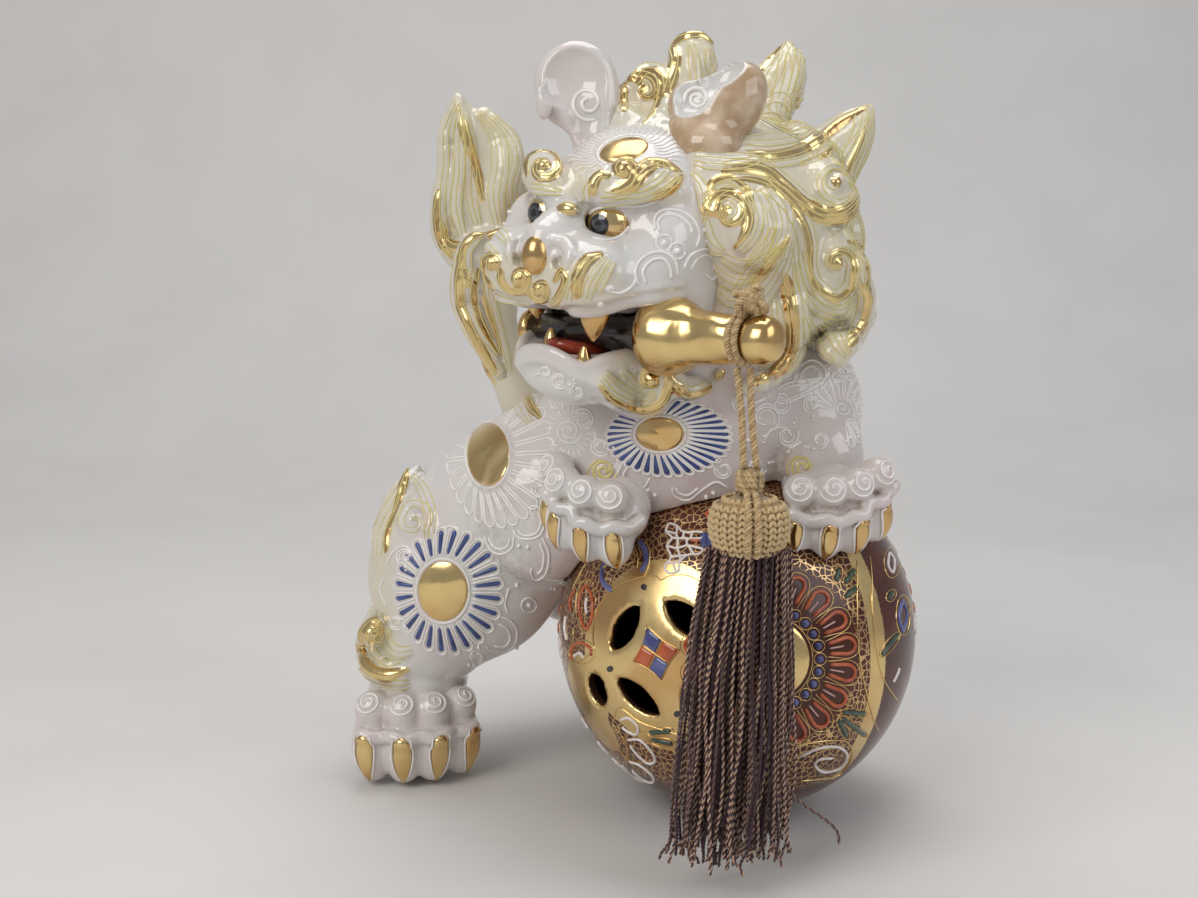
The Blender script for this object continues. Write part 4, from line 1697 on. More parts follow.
# Places along the rod and radii
SHAFT_PROFILE = ((-23, 1), (-23, 5.4), (-22.4, 6.2), (28, 6.2), (29, 5.4), (29, 1))
NEAR_CAP_PROFILE = (
    (0.0, 6.3), (-0.2, 9.4), (1.6, 12.4), (4.6, 13.8), (8.5, 14.0), (12.0, 13.4), (15.5, 12.2), (18.0, 11.0),
    (20.4, 9.9), (24.0, 9.2), (29.0, 8.9), (34.0, 8.5), (36.4, 8.1), (37.2, 6.5), (39.3, 6.3), (41.4, 6.6),
    (42.0, 7.6), (44.8, 8.3), (48.0, 8.1), (50.8, 6.8), (52.4, 4.4), (53.1, 1.0),
)
FAR_CAP_PROFILE = ((0, 6.3), (-0.4, 7.0), (-1.8, 7.6), (-3.6, 7.3), (-5.2, 5.6), (-6.1, 2.6), (-6.3, 0.6))
NEAR_CAP_AT, FAR_CAP_AT = 28.3, 22.3


def make_rod():
    """The black rod across the mouth and its turned gold caps, each one profile carried round the rod's axis.

    The near cap's collar swells and sinks a little three times round.
    """
    shaft, cap, end = Pile(), Pile(), Pile()
    shaft.add_tubes(lathe(SHAFT_PROFILE, ROD_ORIGIN, ROD_AXES, 48))
    place_pile("rod_shaft", shaft, "figure", "black", ["rod"])
    rings = lathe(smooth(NEAR_CAP_PROFILE, 110), ROD_ORIGIN + NEAR_CAP_AT * ROD_AXES[1], ROD_AXES, 72)
    middle = (rings - ROD_ORIGIN) @ ROD_AXES[1]
    ripple = 0.35 * np.sin(3 * round_turn(72) + middle * 0.21) * ease(28, 31, middle) * ease(66, 62, middle)
    cap.add_tubes(rings + ripple[..., None] * unit(rings - ROD_ORIGIN - middle[..., None] * ROD_AXES[1]))
    place_pile("near_cap", cap, "figure", "gold", ["left_rod_cap"])
    far = lathe(smooth(FAR_CAP_PROFILE, 30), ROD_ORIGIN - FAR_CAP_AT * ROD_AXES[1], ROD_AXES, 48)
    end.add_tubes(far[:, ::-1])
    place_pile("far_cap", end, "figure", "gold", ["right_rod_cap"])


# Ball


MEDALLION_TURN = math.radians(-28.5)
MEDALLION_RISE = math.radians(4.0)
MEDALLION_TWIST = math.radians(-14)


def medallion_axes():
    """The medallion's way out, and its own across and up, turned 14 degrees about it."""
    turn, rise, twist = MEDALLION_TURN, MEDALLION_RISE, MEDALLION_TWIST
    out = np.array([math.sin(turn) * math.cos(rise), -math.cos(turn) * math.cos(rise), math.sin(rise)])
    level = np.array([math.cos(turn), math.sin(turn), 0.0])
    upright = np.cross(level, out)
    across = level * math.cos(twist) + upright * math.sin(twist)
    return out, across, upright * math.cos(twist) - level * math.sin(twist)


def on_ball(pixel):
    """The way from the ball's centre to where a pixel's line of view meets its skin."""
    starts, ways = PHOTO.rays([pixel])
    gap = BALL_CENTRE - starts[0]
    along = gap @ ways[0]
    drop = BALL_RADIUS**2 - (gap @ gap - along**2)
    return unit(starts[0] + ways[0] * (along - math.sqrt(max(drop, 0))) - BALL_CENTRE)


LENS_LENGTH, LENS_WIDTH = 21.0, 9.0
LENS_OFF_MIDDLE = 18.0
# Pixels of the photograph on the ball's skin
LOW_HOLE = (595, 690)
FLOWER_MIDDLE = (774, 659)
# The middles of gilded rounds, and how many degrees the gold of each reaches
GILT_SPOTS = (((584, 692), 12), ((638, 694), 8), ((599, 728), 8.5))
BANDS = (42.5, 150, -100)  # degrees round the ball, and half a band's width
BAND_HALF = 3.3
FOOT_RADIUS = 8.0


def make_ball():
    """The pierced ball: a hollow shell with a flat foot, a vent, lens-shaped holes and small round ones.

    A lens of length l and width w is where two circles of radius (l^2 + w^2) / 4w overlap.
    """
    clay = Clay(BALL_CENTRE - 75, BALL_CENTRE + 75, 1.4)
    clay.egg(BALL_CENTRE, [BALL_RADIUS] * 3, 0.01)
    clay.egg(BALL_CENTRE, [BALL_RADIUS - BALL_WALL] * 3, 0.5, carve=True)
    out, across, up = medallion_axes()
    lens_radius = (LENS_LENGTH**2 + LENS_WIDTH**2) / (4 * LENS_WIDTH)
    bow = lens_radius - LENS_WIDTH / 2
    for number in range(4):
        angle = math.radians(45 + 90 * number)
        outward = across * math.cos(angle) + up * math.sin(angle)
        place = BALL_CENTRE + out * BALL_RADIUS * 0.95 + outward * LENS_OFF_MIDDLE
        long_way = across * -math.sin(angle) + up * math.cos(angle)
        box, (x, y, z) = clay.window(place - 16, place + 16)
        p = (x - place[0], y - place[1], z - place[2])
        a, b = (sum(p[k] * way[k] for k in range(3)) for way in (long_way, np.cross(out, long_way)))
        form = np.maximum(np.sqrt(a**2 + (b + bow) ** 2), np.sqrt(a**2 + (b - bow) ** 2)) - lens_radius
        clay.join(box, form.astype(np.float32), 1.2, carve=True)
    clay.egg(BALL_CENTRE + on_ball(LOW_HOLE) * BALL_RADIUS * 0.96, (5.0, 6.5, 6.8), 1.0, carve=True)
    foot = BALL_CENTRE * (1, 1, 0)
    clay.tube([foot - (0, 0, 10), foot + (0, 0, 12)], FOOT_RADIUS, 0.6, carve=True)
    clay.cut(lambda x, y, z: z, 0.8)

    def tints(spots):
        way = unit(spots - BALL_CENTRE)

        def away(pixel):
            return np.degrees(np.arccos(np.clip(way @ on_ball(pixel), -1, 1)))

        a, b = way @ across, way @ up
        petal = 27.5 + 2.2 * np.abs(np.cos(2 * np.arctan2(b, a)))
        rims = [np.degrees(np.arctan2(np.hypot(a, b), way @ out)) - petal]
        rims += [away(pixel) - reach for pixel, reach in GILT_SPOTS]
        turn = np.degrees(np.arctan2(way[:, 0], -way[:, 1]))
        band = np.min([np.abs(turn - place) for place in BANDS], 0)
        gilt = np.clip(2 - np.min(rims, 0) * 1.1, 0, 4)
        gilt = np.maximum(gilt, np.clip(2 - (band - BAND_HALF) * 1.1, 0, 4) * ease(-0.75, -0.6, way[:, 2]))
        panel = ease(45, 47, turn) * ease(80, 78, turn)
        plain = np.max([ease(-0.66, -0.72, way[:, 2]), panel, ease(28.5, 27.5, away(FLOWER_MIDDLE))], 0)
        inner = np.linalg.norm(spots - BALL_CENTRE, axis=1) < BALL_RADIUS - 1.2
        return {"gilt": np.where(inner, 0, gilt), "inside": inner * 1.0, "plain": np.maximum(plain, inner)}

    CLAYS["ball"] = clay
    clay_piece("pierced_ball", clay, ["ball"], tints=tints, finish="ball")


# Raised ornament


DOME_SHARES = np.array([0.03, 0.25, 0.5, 0.72, 0.88, 0.97, 1.0])  # of a disc's radius, from its middle out
DOME_STEP = 0.22  # how far a disc stands up just inside its edge


class Brush:
    """Draws raised lines and discs in a sight onto a clay, with a pile for each kind of enamel."""

    def __init__(self, clay, sight, piles):
        self.clay, self.sight, self.piles = clay, sight, piles

    def lines(self, kind, lines, width, height, keep=1.0):
        """Raised lines along rows of points (k, n, 2), in millimetres across and high.

        A point is kept where its line of view comes within keep of the clay.
        """
        lines = np.asarray(lines, float)
        if lines.ndim == 2:
            lines = lines[None]
        k, n = lines.shape[:2]
        points, ways = self.clay.meet(*self.sight.rays(lines.reshape(-1, 2)))
        found = self.clay.passed.reshape(k, n) < keep
        points, ways = points.reshape(k, n, 3), ways.reshape(k, n, 3)
        found[:, 1:] &= np.linalg.norm(np.diff(points, axis=1), axis=2) < 7
        wide, tall = np.broadcast_to(width, (k, n)), np.broadcast_to(height, (k, n))
        pile, whole = self.piles.setdefault(kind, Pile()), found[:, 1:].all(1)
        if whole.any():
            pile.ridges(points[whole], ways[whole], wide[whole], tall[whole])
        for row in np.flatnonzero(~whole):
            stretch = longest_run(found[row])
            if len(stretch) > 4:
                pile.ridges(points[row, stretch], ways[row, stretch], wide[row, stretch], tall[row, stretch])

    def disc(self, kind, centre, radii, tilt=0.0, rise=0.8, sides=36):
        """A low closed dome inside an ellipse; its rise falls as 1 - r^2 to its edge."""
        spots = np.array(centre) + oval(round_turn(sides), radii, tilt) * DOME_SHARES[:, None, None]
        points, ways = self.clay.meet(*self.sight.rays(spots.reshape(-1, 2)))
        points, ways = points.reshape(7, sides, 3), ways.reshape(7, sides, 3)
        lift = rise * (1 - DOME_SHARES**2) + np.array([DOME_STEP] * 6 + [0.0])
        self.piles.setdefault(kind, Pile()).patch(points[:, ::-1], ways[:, ::-1], lift)

    def scroll(self, centre, radius, start, way=1, scale=1.0):
        """A comma scroll: an outer hooked line, a shorter one inside it, and two beads beside its head."""
        self.lines("slip", coil_line(centre, radius, 0.95, start, way, 0.42), 0.95, 0.55)
        self.lines("slip", coil_line(centre, radius * 0.66, 0.72, start + way * 12, way, 0.55), 0.8, 0.5)
        for reach, size in ((1.22, 0.75), (1.6, 0.55)):
            spot = np.array(centre) + reach * radius * circle(math.radians(start - way * 34))
            self.disc("slip", spot, (size * scale, size * scale), rise=0.6, sides=12)

    def bloom(self, disc, radii, middle, reach, count, blue):
        """A chrysanthemum: a gilded disc in a slip ring, and slip outlines of petals with blue strokes."""
        self.disc("gold", disc, radii, rise=1.0)
        self.lines("slip", ring(disc, np.array(radii) * 1.07, 61), 0.9, 0.6, 4)
        drift = np.array(middle) - np.array(disc)
        inner = np.array(radii) * 1.14
        self.lines("slip", petals(disc, inner, reach, count, 0.8, drift=drift), 0.85, 0.6)
        if blue:
            strokes = spokes(disc, inner, reach, count, 0.1, 0.9, drift=drift)
            self.lines("blue", strokes, 1.1 + 1.3 * np.linspace(0, 1, SPOKE_POINTS) ** 0.8, 0.5)


def petals(centre, inner, outer, count, share=0.8, arc=(0, 360), drift=(0, 0)):
    """U-shaped outlines of petals round a centre, from the inner ellipse to the outer one: (count, 23, 2).

    A round end takes up the middle 45 hundredths of each line, and straight sides the rest.
    """
    angle = np.radians(arc[0] + (arc[1] - arc[0]) * (np.arange(count) + 0.5) / count)
    half = math.radians(abs(arc[1] - arc[0]) / count) * share / 2
    inner, outer = np.array(inner, float), np.array(outer, float)
    round_end = min(0.45, half * outer.mean() / max((outer - inner).mean(), 1e-6))
    s = np.linspace(-1, 1, 23)
    bend = np.minimum(np.abs(s) / 0.45, 1) * math.pi / 2
    run = np.clip((np.abs(s) - 0.45) / 0.55, 0, 1)
    reach = (1 - round_end * (1 - np.cos(bend))) * (1 - run)
    lean = np.sign(s) * half * np.sin(bend) * (1 - 0.2 * run)
    size = inner + (outer - inner) * reach[None, :, None]
    return np.array(centre) + circle(angle[:, None] + lean) * size + np.array(drift) * reach[None, :, None]


SPOKE_POINTS = 12


def spokes(centre, inner, outer, count, low=0.1, high=0.9, arc=(0, 360), drift=(0, 0)):
    """Straight strokes from the inner ellipse towards the outer one: (count, 12, 2)."""
    angle = np.radians(arc[0] + (arc[1] - arc[0]) * (np.arange(count) + 0.5) / count)[:, None]
    share = np.linspace(low, high, SPOKE_POINTS)[None, :, None]
    size = np.array(inner, float) + (np.array(outer, float) - np.array(inner, float)) * share
    return np.array(centre) + circle(angle) * size + np.array(drift) * share


def ring(centre, radii, n=49, tilt=0.0):
    return np.array(centre) + oval(np.linspace(0, 2 * math.pi, n), radii, tilt)


def coil_line(centre, radius, turns, start=0.0, way=1, inner=0.12, n=40):
    """A coil drawn inward from its outer end: the radius falls evenly to the inner share."""
    s = np.linspace(0, 1, n)
    angle = math.radians(start) + way * 2 * math.pi * turns * s
    return np.array(centre) + circle(angle) * (radius * (1 - (1 - inner) * s))[:, None]


SCROLLS = (
    (405, 556, 9, 120, 1), (584, 420, 12, 220, 1), (555, 404, 8, 30, -1), (765, 418, 15, 60, -1),
    (787, 436, 12, 330, 1), (780, 405, 12, 250, 1), (836, 376, 9, 260, 1), (600, 446, 11, 40, 1),
    (556, 456, 9, 300, 1), (724, 470, 10, 200, -1), (757, 466, 10, 20, 1), (566, 590, 9, 220, 1),
    (478, 657, 8, 240, -1), (396, 622, 8, 60, 1), (812, 404, 10, 120, 1), (541, 490, 9, 200, -1),
    (741, 402, 9, 120, 1), (820, 440, 9, 90, -1),
)
BODY_LINES = (
    [(484, 536), (490, 549), (501, 554), (512, 548), (514, 536)],
    [(488, 537), (493, 546), (501, 549), (508, 545), (510, 537)],
    [(513, 529), (518, 537), (530, 539), (541, 534), (545, 520), (541, 509), (532, 506), (531, 512),
     (536, 516)],
    [(518, 530), (523, 535), (531, 535), (538, 531), (541, 520), (538, 512)],
    [(542, 537), (549, 553), (546, 573), (536, 580), (531, 573), (532, 568)],
    [(540, 543), (544, 555), (542, 569), (537, 574)],
    [(501, 617), (510, 620), (517, 631), (514, 645), (505, 651), (491, 650), (486, 646)],
    [(499, 624), (507, 628), (510, 638), (505, 646), (494, 646)],
    [(509, 588), (505, 603), (508, 612)],
    [(459, 535), (455, 527), (447, 527), (446, 534)],
    [(387, 564), (394, 551), (405, 546), (411, 553), (405, 559)],
    [(384, 578), (380, 590), (386, 606)],
    [(672, 487), (675, 496), (688, 500), (702, 490), (716, 482), (728, 488)],
    [(676, 488), (679, 493), (688, 495), (698, 488)],
    [(623, 462), (617, 476), (628, 490), (643, 488), (650, 478)],
    [(628, 466), (623, 476), (631, 485), (641, 483)],
    [(792, 385), (797, 369), (810, 360), (823, 366), (824, 379), (813, 386), (806, 379)],
    [(797, 386), (802, 372), (811, 366), (818, 371), (818, 379)],
    [(764, 440), (771, 430), (784, 428), (792, 436)],
    [(747, 428), (752, 414), (764, 404), (776, 407)],
)
BODY_DOTS = (
    (519, 546, 2.2), (528, 547, 2.2), (548, 536, 2.2), (517, 648, 2.2), (517, 585, 2.4), (469, 665, 2),
    (474, 665, 2), (529, 605, 2.6), (648, 490, 2), (655, 495, 2), (706, 497, 2.2), (713, 493, 2),
    (800, 394, 2.4), (790, 447, 2.2), (640, 470, 2), (748, 440, 2.2),
)


# Pixels of the photograph. A bloom: its disc's middle and radii, its petals' middle and reach, their number
# and whether they have blue strokes
BLOOMS = (
    ((660, 434), (24, 17), (669, 438), (64, 39), 34, True),
    ((488, 454), (21, 32), (500, 452), (54, 76), 27, False),
    ((443, 591), (25, 30), (449, 591), (55, 64), 24, True),
)
CHEST_COIL = (569, 431)
SIDE_COIL = (842, 408)
SIDE_FAN = (842, 412)
SIDE_FAN_ARC = (-170, 80)
HAUNCH_RING = (529, 605)
# Blooms seen from other sides: the place and the way that it faces, and whether it has blue strokes
BLOOMS_BEHIND = (
    ((-30, 90, 120), (-0.2, 1, 0.3), True), ((16, 104, 92), (0.3, 1, 0.1), True),
    ((30, 54, 160), (0.4, 0.7, 0.8), False), ((88, 6, 165), (1, 0.3, 0.3), False),
    ((-70, 66, 84), (-0.5, 1, 0.1), True),
)


def ornament_body():
    """Slip blossoms, blue strokes and comma scrolls over the chest, flank and haunch, and others behind."""
    body, piles = CLAYS["body"], {}
    brush = Brush(body, PHOTO, piles)
    for bloom in BLOOMS:
        brush.bloom(*bloom)
    brush.lines("slip", coil_line(CHEST_COIL, 14, 2.2), 0.8, 0.5)
    brush.lines("slip", spokes(CHEST_COIL, (16, 18), (25, 29), 26, 0, 1), 0.6, 0.4)
    brush.lines("slip", coil_line(SIDE_COIL, 8, 1.4), 0.8, 0.5)
    brush.lines("slip", spokes(SIDE_FAN, (10, 10), (30, 34), 30, 0, 1, SIDE_FAN_ARC), 0.6, 0.4)
    brush.lines("slip", petals(SIDE_FAN, (11, 11), (33, 37), 15, 0.8, SIDE_FAN_ARC), 0.7, 0.45)
    for x, y, radius, start, way in SCROLLS:
        brush.scroll((x, y), radius, start, way, 2.4)
    for path in BODY_LINES:
        brush.lines("slip", smooth(path, 30), 1.0, 0.6)
    for x, y, radius in BODY_DOTS:
        brush.disc("slip", (x, y), (radius, radius), rise=0.8, sides=14)
    brush.lines("slip", ring(HAUNCH_RING, (7.5, 7.5), 30), 0.9, 0.55)
    for coil in WRIST_COILS:
        brush.lines("yellow", coil_line(coil, 13, 2.2), 1.3, 0.7)
        brush.lines("yellow", coil_line(coil, 17, 0.7, 150), 1.0, 0.5)
    for place, facing, blue in BLOOMS_BEHIND:
        brush = Brush(body, Sight(at(place), facing), piles)
        brush.bloom((0, 0), (8, 8), (0, 0), (21, 21), 26, blue)
        for turn in range(0, 360, 40):
            brush.scroll(29 * circle(math.radians(turn)), 4.4, turn * 3.0, 1 if turn % 80 else -1)
    place_ornament("body", piles)


FACE_SCROLLS = (
    [(655, 231), (655, 217), (664, 210), (680, 211), (693, 220), (699, 234), (696, 247)],
    [(660, 232), (658, 222), (665, 215), (678, 216), (689, 225), (692, 234)],
    [(638, 285), (635, 270), (645, 256), (662, 252), (675, 261), (678, 277)],
    [(646, 284), (643, 271), (651, 261), (663, 259), (670, 268), (671, 279)],
    [(683, 270), (690, 256), (705, 249), (718, 255), (721, 268), (713, 279), (705, 275)],
    [(690, 270), (696, 260), (706, 255), (713, 260), (714, 269)],
    [(605, 290), (620, 293), (632, 286), (637, 276)],
    [(586, 220), (592, 211), (606, 206), (622, 206), (644, 205), (660, 199)],
    [(592, 238), (606, 240), (620, 236), (630, 226)],
)


# Pixels of the photograph: middles and radii
CHEEK_BERRIES = ((664, 243), (677, 251))
FACE_DOTS = (((706, 230), (3.6, 3.2)), ((708, 241), (3.2, 3.0)), ((609, 288), (6, 3.6)), ((601, 305), (4, 3)))
FOREHEAD_OVAL = (624, 150)
FOREHEAD_TILT = -14
RAYS_MIDDLE = (624, 151)
CHIN_SCROLLS = (((560, 380), 9, 60, 1), ((578, 392), 8, 220, -1), ((546, 372), 6, 200, 1))
FAR_CHEEK_SCROLLS = (((0, -4), 7, 30, 1), ((-8, 8), 6, 200, -1), ((8, 9), 6, 320, 1))  # millimetres


def ornament_face():
    """Slip scrolls on the cheek, the gilded oval on the forehead and the lines that fan out from it."""
    face, piles = CLAYS["face"], {}
    brush = Brush(face, PHOTO, piles)
    for path in FACE_SCROLLS:
        brush.lines("slip", smooth(path, 34), 1.15, 0.7)
    for centre in CHEEK_BERRIES:
        brush.lines("slip", ring(centre, (8, 8), 30), 0.8, 0.5)
        brush.disc("slip", centre, (3.4, 3.4), rise=1.0, sides=16)
    for centre, radii in FACE_DOTS:
        brush.disc("slip", centre, radii, rise=0.8, sides=16)
    brush.disc("gold", FOREHEAD_OVAL, (25, 12), FOREHEAD_TILT, 0.8)
    brush.lines("slip", ring(FOREHEAD_OVAL, (27, 14), 61, FOREHEAD_TILT), 0.8, 0.5, 4)
    rays = spokes(RAYS_MIDDLE, (29, 16), (62, 36), 44, 0.05, 1.0)
    rays[..., 1] += 2.0 * np.sin(np.linspace(0, 6, SPOKE_POINTS))
    brush.lines("slip", rays, 0.6, 0.42)
    far_cheek = Sight(from_head((18, -30, 0)), np.array([0.15, -1, 0.05]) @ HEAD_AXES)
    for scroll in FAR_CHEEK_SCROLLS:
        Brush(face, far_cheek, piles).scroll(*scroll)
    place_ornament("face", piles)
    piles = {}
    for scroll in CHIN_SCROLLS:
        Brush(CLAYS["jaw"], PHOTO, piles).scroll(*scroll, 2.4)
    place_ornament("jaw", piles)


BALL_GOLD_LINES = (
    [(594, 650), (593, 634), (595, 617), (602, 601), (617, 586), (640, 577), (655, 576), (661, 580),
     (669, 576), (686, 575), (703, 584), (711, 600)],
    [(857, 560), (857, 585), (857, 607), (858, 646), (865, 688), (873, 718), (879, 732)],
    [(870, 556), (872, 582), (872, 607), (876, 646), (883, 678), (899, 703)],
    [(800, 745), (822, 741), (845, 741), (852, 752), (846, 768), (834, 777), (800, 781)],
    [(609, 560), (602, 572), (604, 585), (612, 594)], [(633, 543), (638, 556), (637, 569)],
    [(646, 541), (650, 553), (648, 569), (644, 577)], [(596, 548), (590, 556), (580, 574), (572, 590)],
    [(568, 655), (574, 662), (582, 660), (594, 650)],
    [(613, 724), (619, 708), (640, 722), (660, 729), (684, 736)],
    [(613, 724), (622, 736), (628, 750), (623, 764)],
)
BALL_WHITE_LINES = (
    [(799, 757), (819, 748), (838, 747), (847, 755), (841, 767), (824, 772), (815, 765), (820, 759),
     (834, 758)],
    [(620, 720), (629, 718), (638, 727), (636, 734), (629, 732), (622, 727)],
    [(627, 740), (640, 740), (652, 752), (655, 761), (648, 763), (638, 755), (630, 745)],
    [(629, 761), (640, 765), (652, 775), (653, 782), (644, 780), (632, 770)],
    [(622, 765), (631, 774), (640, 786)], [(594, 744), (604, 757)], [(608, 762), (623, 777)],
    [(581, 718), (586, 730)], [(587, 598), (586, 606), (587, 614)], [(566, 616), (565, 628), (567, 640)],
    [(574, 656), (580, 653), (584, 658)], [(889, 552), (894, 560), (893, 572), (888, 566), (889, 552)],
    [(893, 682), (897, 674), (899, 668)],
)
BALL_ORANGE_LINES = (
    [(586, 584), (580, 596), (580, 614), (586, 629), (592, 616), (592, 598), (586, 584)],
    [(575, 590), (570, 600), (571, 611)], [(571, 660), (572, 648), (580, 643), (590, 648), (591, 656)],
    [(690, 540), (699, 541)], [(712, 510), (706, 514), (712, 518)],
)
BALL_BLUE_LINES = (
    [(639, 541), (645, 550), (646, 561), (641, 572)], [(607, 557), (602, 569), (603, 582), (612, 591)],
    [(709, 532), (710, 549)], [(703, 532), (704, 548)],
    [(903, 600), (907, 614), (903, 630), (899, 616), (903, 600)],
)
BALL_LEAVES = (
    [(843, 712), (866, 714)], [(842, 718), (866, 736)], [(839, 720), (847, 737)], [(839, 569), (836, 581)],
    [(845, 583), (855, 569)], [(845, 597), (857, 587)], [(882, 655), (892, 642), (898, 634)],
    [(893, 592), (889, 599)], [(649, 733), (671, 731)], [(651, 740), (673, 744)],
)
BALL_GOLD_RINGS = (
    ((586, 606), (10, 26)), ((582, 652), (13, 12)), ((892, 562), (8, 16)), ((903, 615), (7, 20)),
    ((626, 556), (9, 9)), ((640, 747), (20, 15)), ((592, 585), (5, 6)), ((578, 632), (5, 7)),
    ((709, 541), (8, 12)),
)
NET_LINES = (
    [(669, 523), (677, 526), (684, 532), (701, 532), (702, 538), (689, 539), (688, 545), (702, 549),
     (699, 554), (688, 555), (680, 562), (678, 571), (669, 573), (665, 567), (671, 557), (667, 546),
     (672, 538), (666, 531), (669, 523)],
    [(666, 531), (676, 533), (677, 526)], [(672, 538), (682, 538), (684, 532)], [(682, 538), (689, 539)],
    [(667, 546), (677, 548), (688, 545)], [(677, 548), (678, 540), (676, 533)],
    [(671, 557), (680, 556), (688, 555)], [(677, 548), (680, 556), (680, 562)], [(692, 532), (691, 538)],
    [(688, 545), (694, 554)], [(668, 563), (680, 562)], [(676, 572), (673, 563)],
)


# Pixels of the photograph: the medallion's painted dots and the corners of its chequered diamond
MEDALLION_DOTS = ((644, 587), (610, 669), (677, 714))
DIAMOND = ((647, 626), (680, 650), (662, 680), (633, 661))
NEAR_FLOWER = (770, 659)
# Degrees round the ball and up it, and the size of each flower on its other sides
FAR_FLOWERS = ((105, 5, 0.28), (180, -5, 0.31), (-112, -4, 0.28))


def flower_on_ball(brush, centre, size):
    """A round flower: gilded middle, blue beads, orange petals with a pink rib, outlined in gold."""
    centre = np.array(centre, float)
    brush.disc("gold", centre, (40 * size, 40 * size), rise=0.6)
    brush.lines("gold", ring(centre, (42.5 * size, 42.5 * size), 70), 0.5, 0.4, 4)
    for turn in np.arange(24) * math.pi / 12:
        spot = centre + 50 * size * circle(turn)
        brush.lines("gold", ring(spot, (6.2 * size, 6.2 * size), 18), 0.42, 0.35, 4)
        brush.disc("bead", spot, (3.8 * size, 3.8 * size), rise=1.1, sides=14)
    inner, outer = np.full(2, 58 * size), np.full(2, 86 * size)
    brush.lines("orange", petals(centre, inner + 2 * size, outer, 18, 0.6), 1.6, 0.95)
    brush.lines("gold", petals(centre, inner - 1 * size, outer + 5 * size, 18, 0.96), 0.45, 0.35, 4)
    brush.lines("pink", spokes(centre, inner, outer, 18, 0.1, 0.62), 0.7, 0.5, 4)


def draw_diamond(brush):
    """The chequered diamond: four enamelled squares as closed patches, between bowed lines of gold.

    A square is read between its corners, along rings of its outline; u and v run from the diamond's middle.
    """
    top, right, foot, left = np.array(DIAMOND, float)
    middle = (top + right + foot + left) / 4
    t = np.linspace(0.06, 0.94, 8)[:-1]
    low, high = np.full(7, 0.06), np.full(7, 0.94)
    share = np.array([0.04, 0.5, 0.92, 1.0])[:, None]
    outline = np.hstack([t, high, 1 - t, low]), np.hstack([low, t, high, 1 - t])
    u, v = ((0.5 + share * (side - 0.5))[..., None] for side in outline)
    for a, b, c, kind in (
        (left, top, right, "bead"), (top, right, foot, "orange"), (right, foot, left, "bead"),
        (foot, left, top, "orange"),
    ):
        mid_in, mid_out = (a + b) / 2 * 0.94 + middle * 0.06, (b + c) / 2 * 0.94 + middle * 0.06
        cell = (1 - u) * ((1 - v) * middle + v * mid_in) + u * ((1 - v) * mid_out + v * b)
        points, ways = brush.clay.meet(*PHOTO.rays(cell.reshape(-1, 2)))
        pile = brush.piles.setdefault(kind, Pile())
        pile.patch(points.reshape(4, 28, 3), ways.reshape(4, 28, 3), [0.45, 0.45, 0.45, 0.0])
    s = np.linspace(0, 1, 14)[:, None]
    for a, b in ((top, right), (right, foot), (foot, left), (left, top)):
        brush.lines("gold", (a + (b - a) * s) + (middle - (a + b) / 2) * 0.12 * np.sin(math.pi * s), 0.6, 0.6)
    for a, b in (((top + left) / 2, (right + foot) / 2), ((top + right) / 2, (left + foot) / 2)):
        line = np.linspace(a * 0.94 + middle * 0.06, b * 0.94 + middle * 0.06, 12)
        brush.lines("gold", line, 0.6, 0.6)


def ornament_ball():
    """Enamel on the ball: flowers, spirals, leaves, bands and a chequered diamond on the medallion."""
    ball, piles = CLAYS["ball"], {}
    brush = Brush(ball, PHOTO, piles)
    for kind, paths, width, height in (
        ("gold", BALL_GOLD_LINES, 0.55, 0.45), ("snow", BALL_WHITE_LINES, 1.2, 0.8),
        ("orange", BALL_ORANGE_LINES, 1.3, 0.7), ("bead", BALL_BLUE_LINES, 2.5, 0.6),
        ("green", BALL_LEAVES, 2.2, 0.7),
    ):
        for path in paths:
            line = smooth(path, 36) if len(path) > 2 else np.linspace(path[0], path[1], 12)
            brush.lines(kind, line, width, height, 4)
    for dot in MEDALLION_DOTS:
        brush.disc("black", dot, (3.2, 3.2), rise=0.05, sides=14)
    for path in NET_LINES:
        brush.lines("snow", smooth(path, 12 * len(path)), 0.95, 0.6)
    for path in BALL_LEAVES:
        start, end = np.array(path[0], float), np.array(path[-1], float)
        along = end - start
        lean = math.degrees(math.atan2(along[1], along[0]))
        brush.lines("gold", ring((start + end) / 2, (math.hypot(*along) / 2 + 2.5, 4.6), 30, lean), 0.4, 0.35,
                    4)
    for centre, radii in BALL_GOLD_RINGS:
        brush.lines("gold", ring(centre, radii, 40), 0.4, 0.35, 4)
    flower_on_ball(brush, NEAR_FLOWER, 1.0)
    draw_diamond(brush)
    for turn, rise, size in FAR_FLOWERS:
        turn, rise = math.radians(turn), math.radians(rise)
        facing = np.array([
            math.sin(turn) * math.cos(rise), -math.cos(turn) * math.cos(rise), math.sin(rise),
        ])
        brush = Brush(ball, Sight(BALL_CENTRE + facing * BALL_RADIUS, facing), piles)
        flower_on_ball(brush, (0, 0), size)
        for angle in range(0, 360, 60):
            spot = 40 * size * 3.0 * circle(math.radians(angle))
            brush.lines("snow", coil_line(spot, 5.5, 1.5, angle), 1.1, 0.7)
    place_ornament("ball", piles)


# Stage


# The sweep's places back and up, in metres
SWEEP = ((-1.6, 0), (-0.4, 0), (0.35, 0), (0.75, 0.03), (1.0, 0.22), (1.1, 0.6), (1.12, 1.2), (1.12, 2.2))
SWEEP_HALF_WIDTH = 2.4
SKY = (0.95, 0.96, 1.0, 1)
SKY_STRENGTH = 0.36
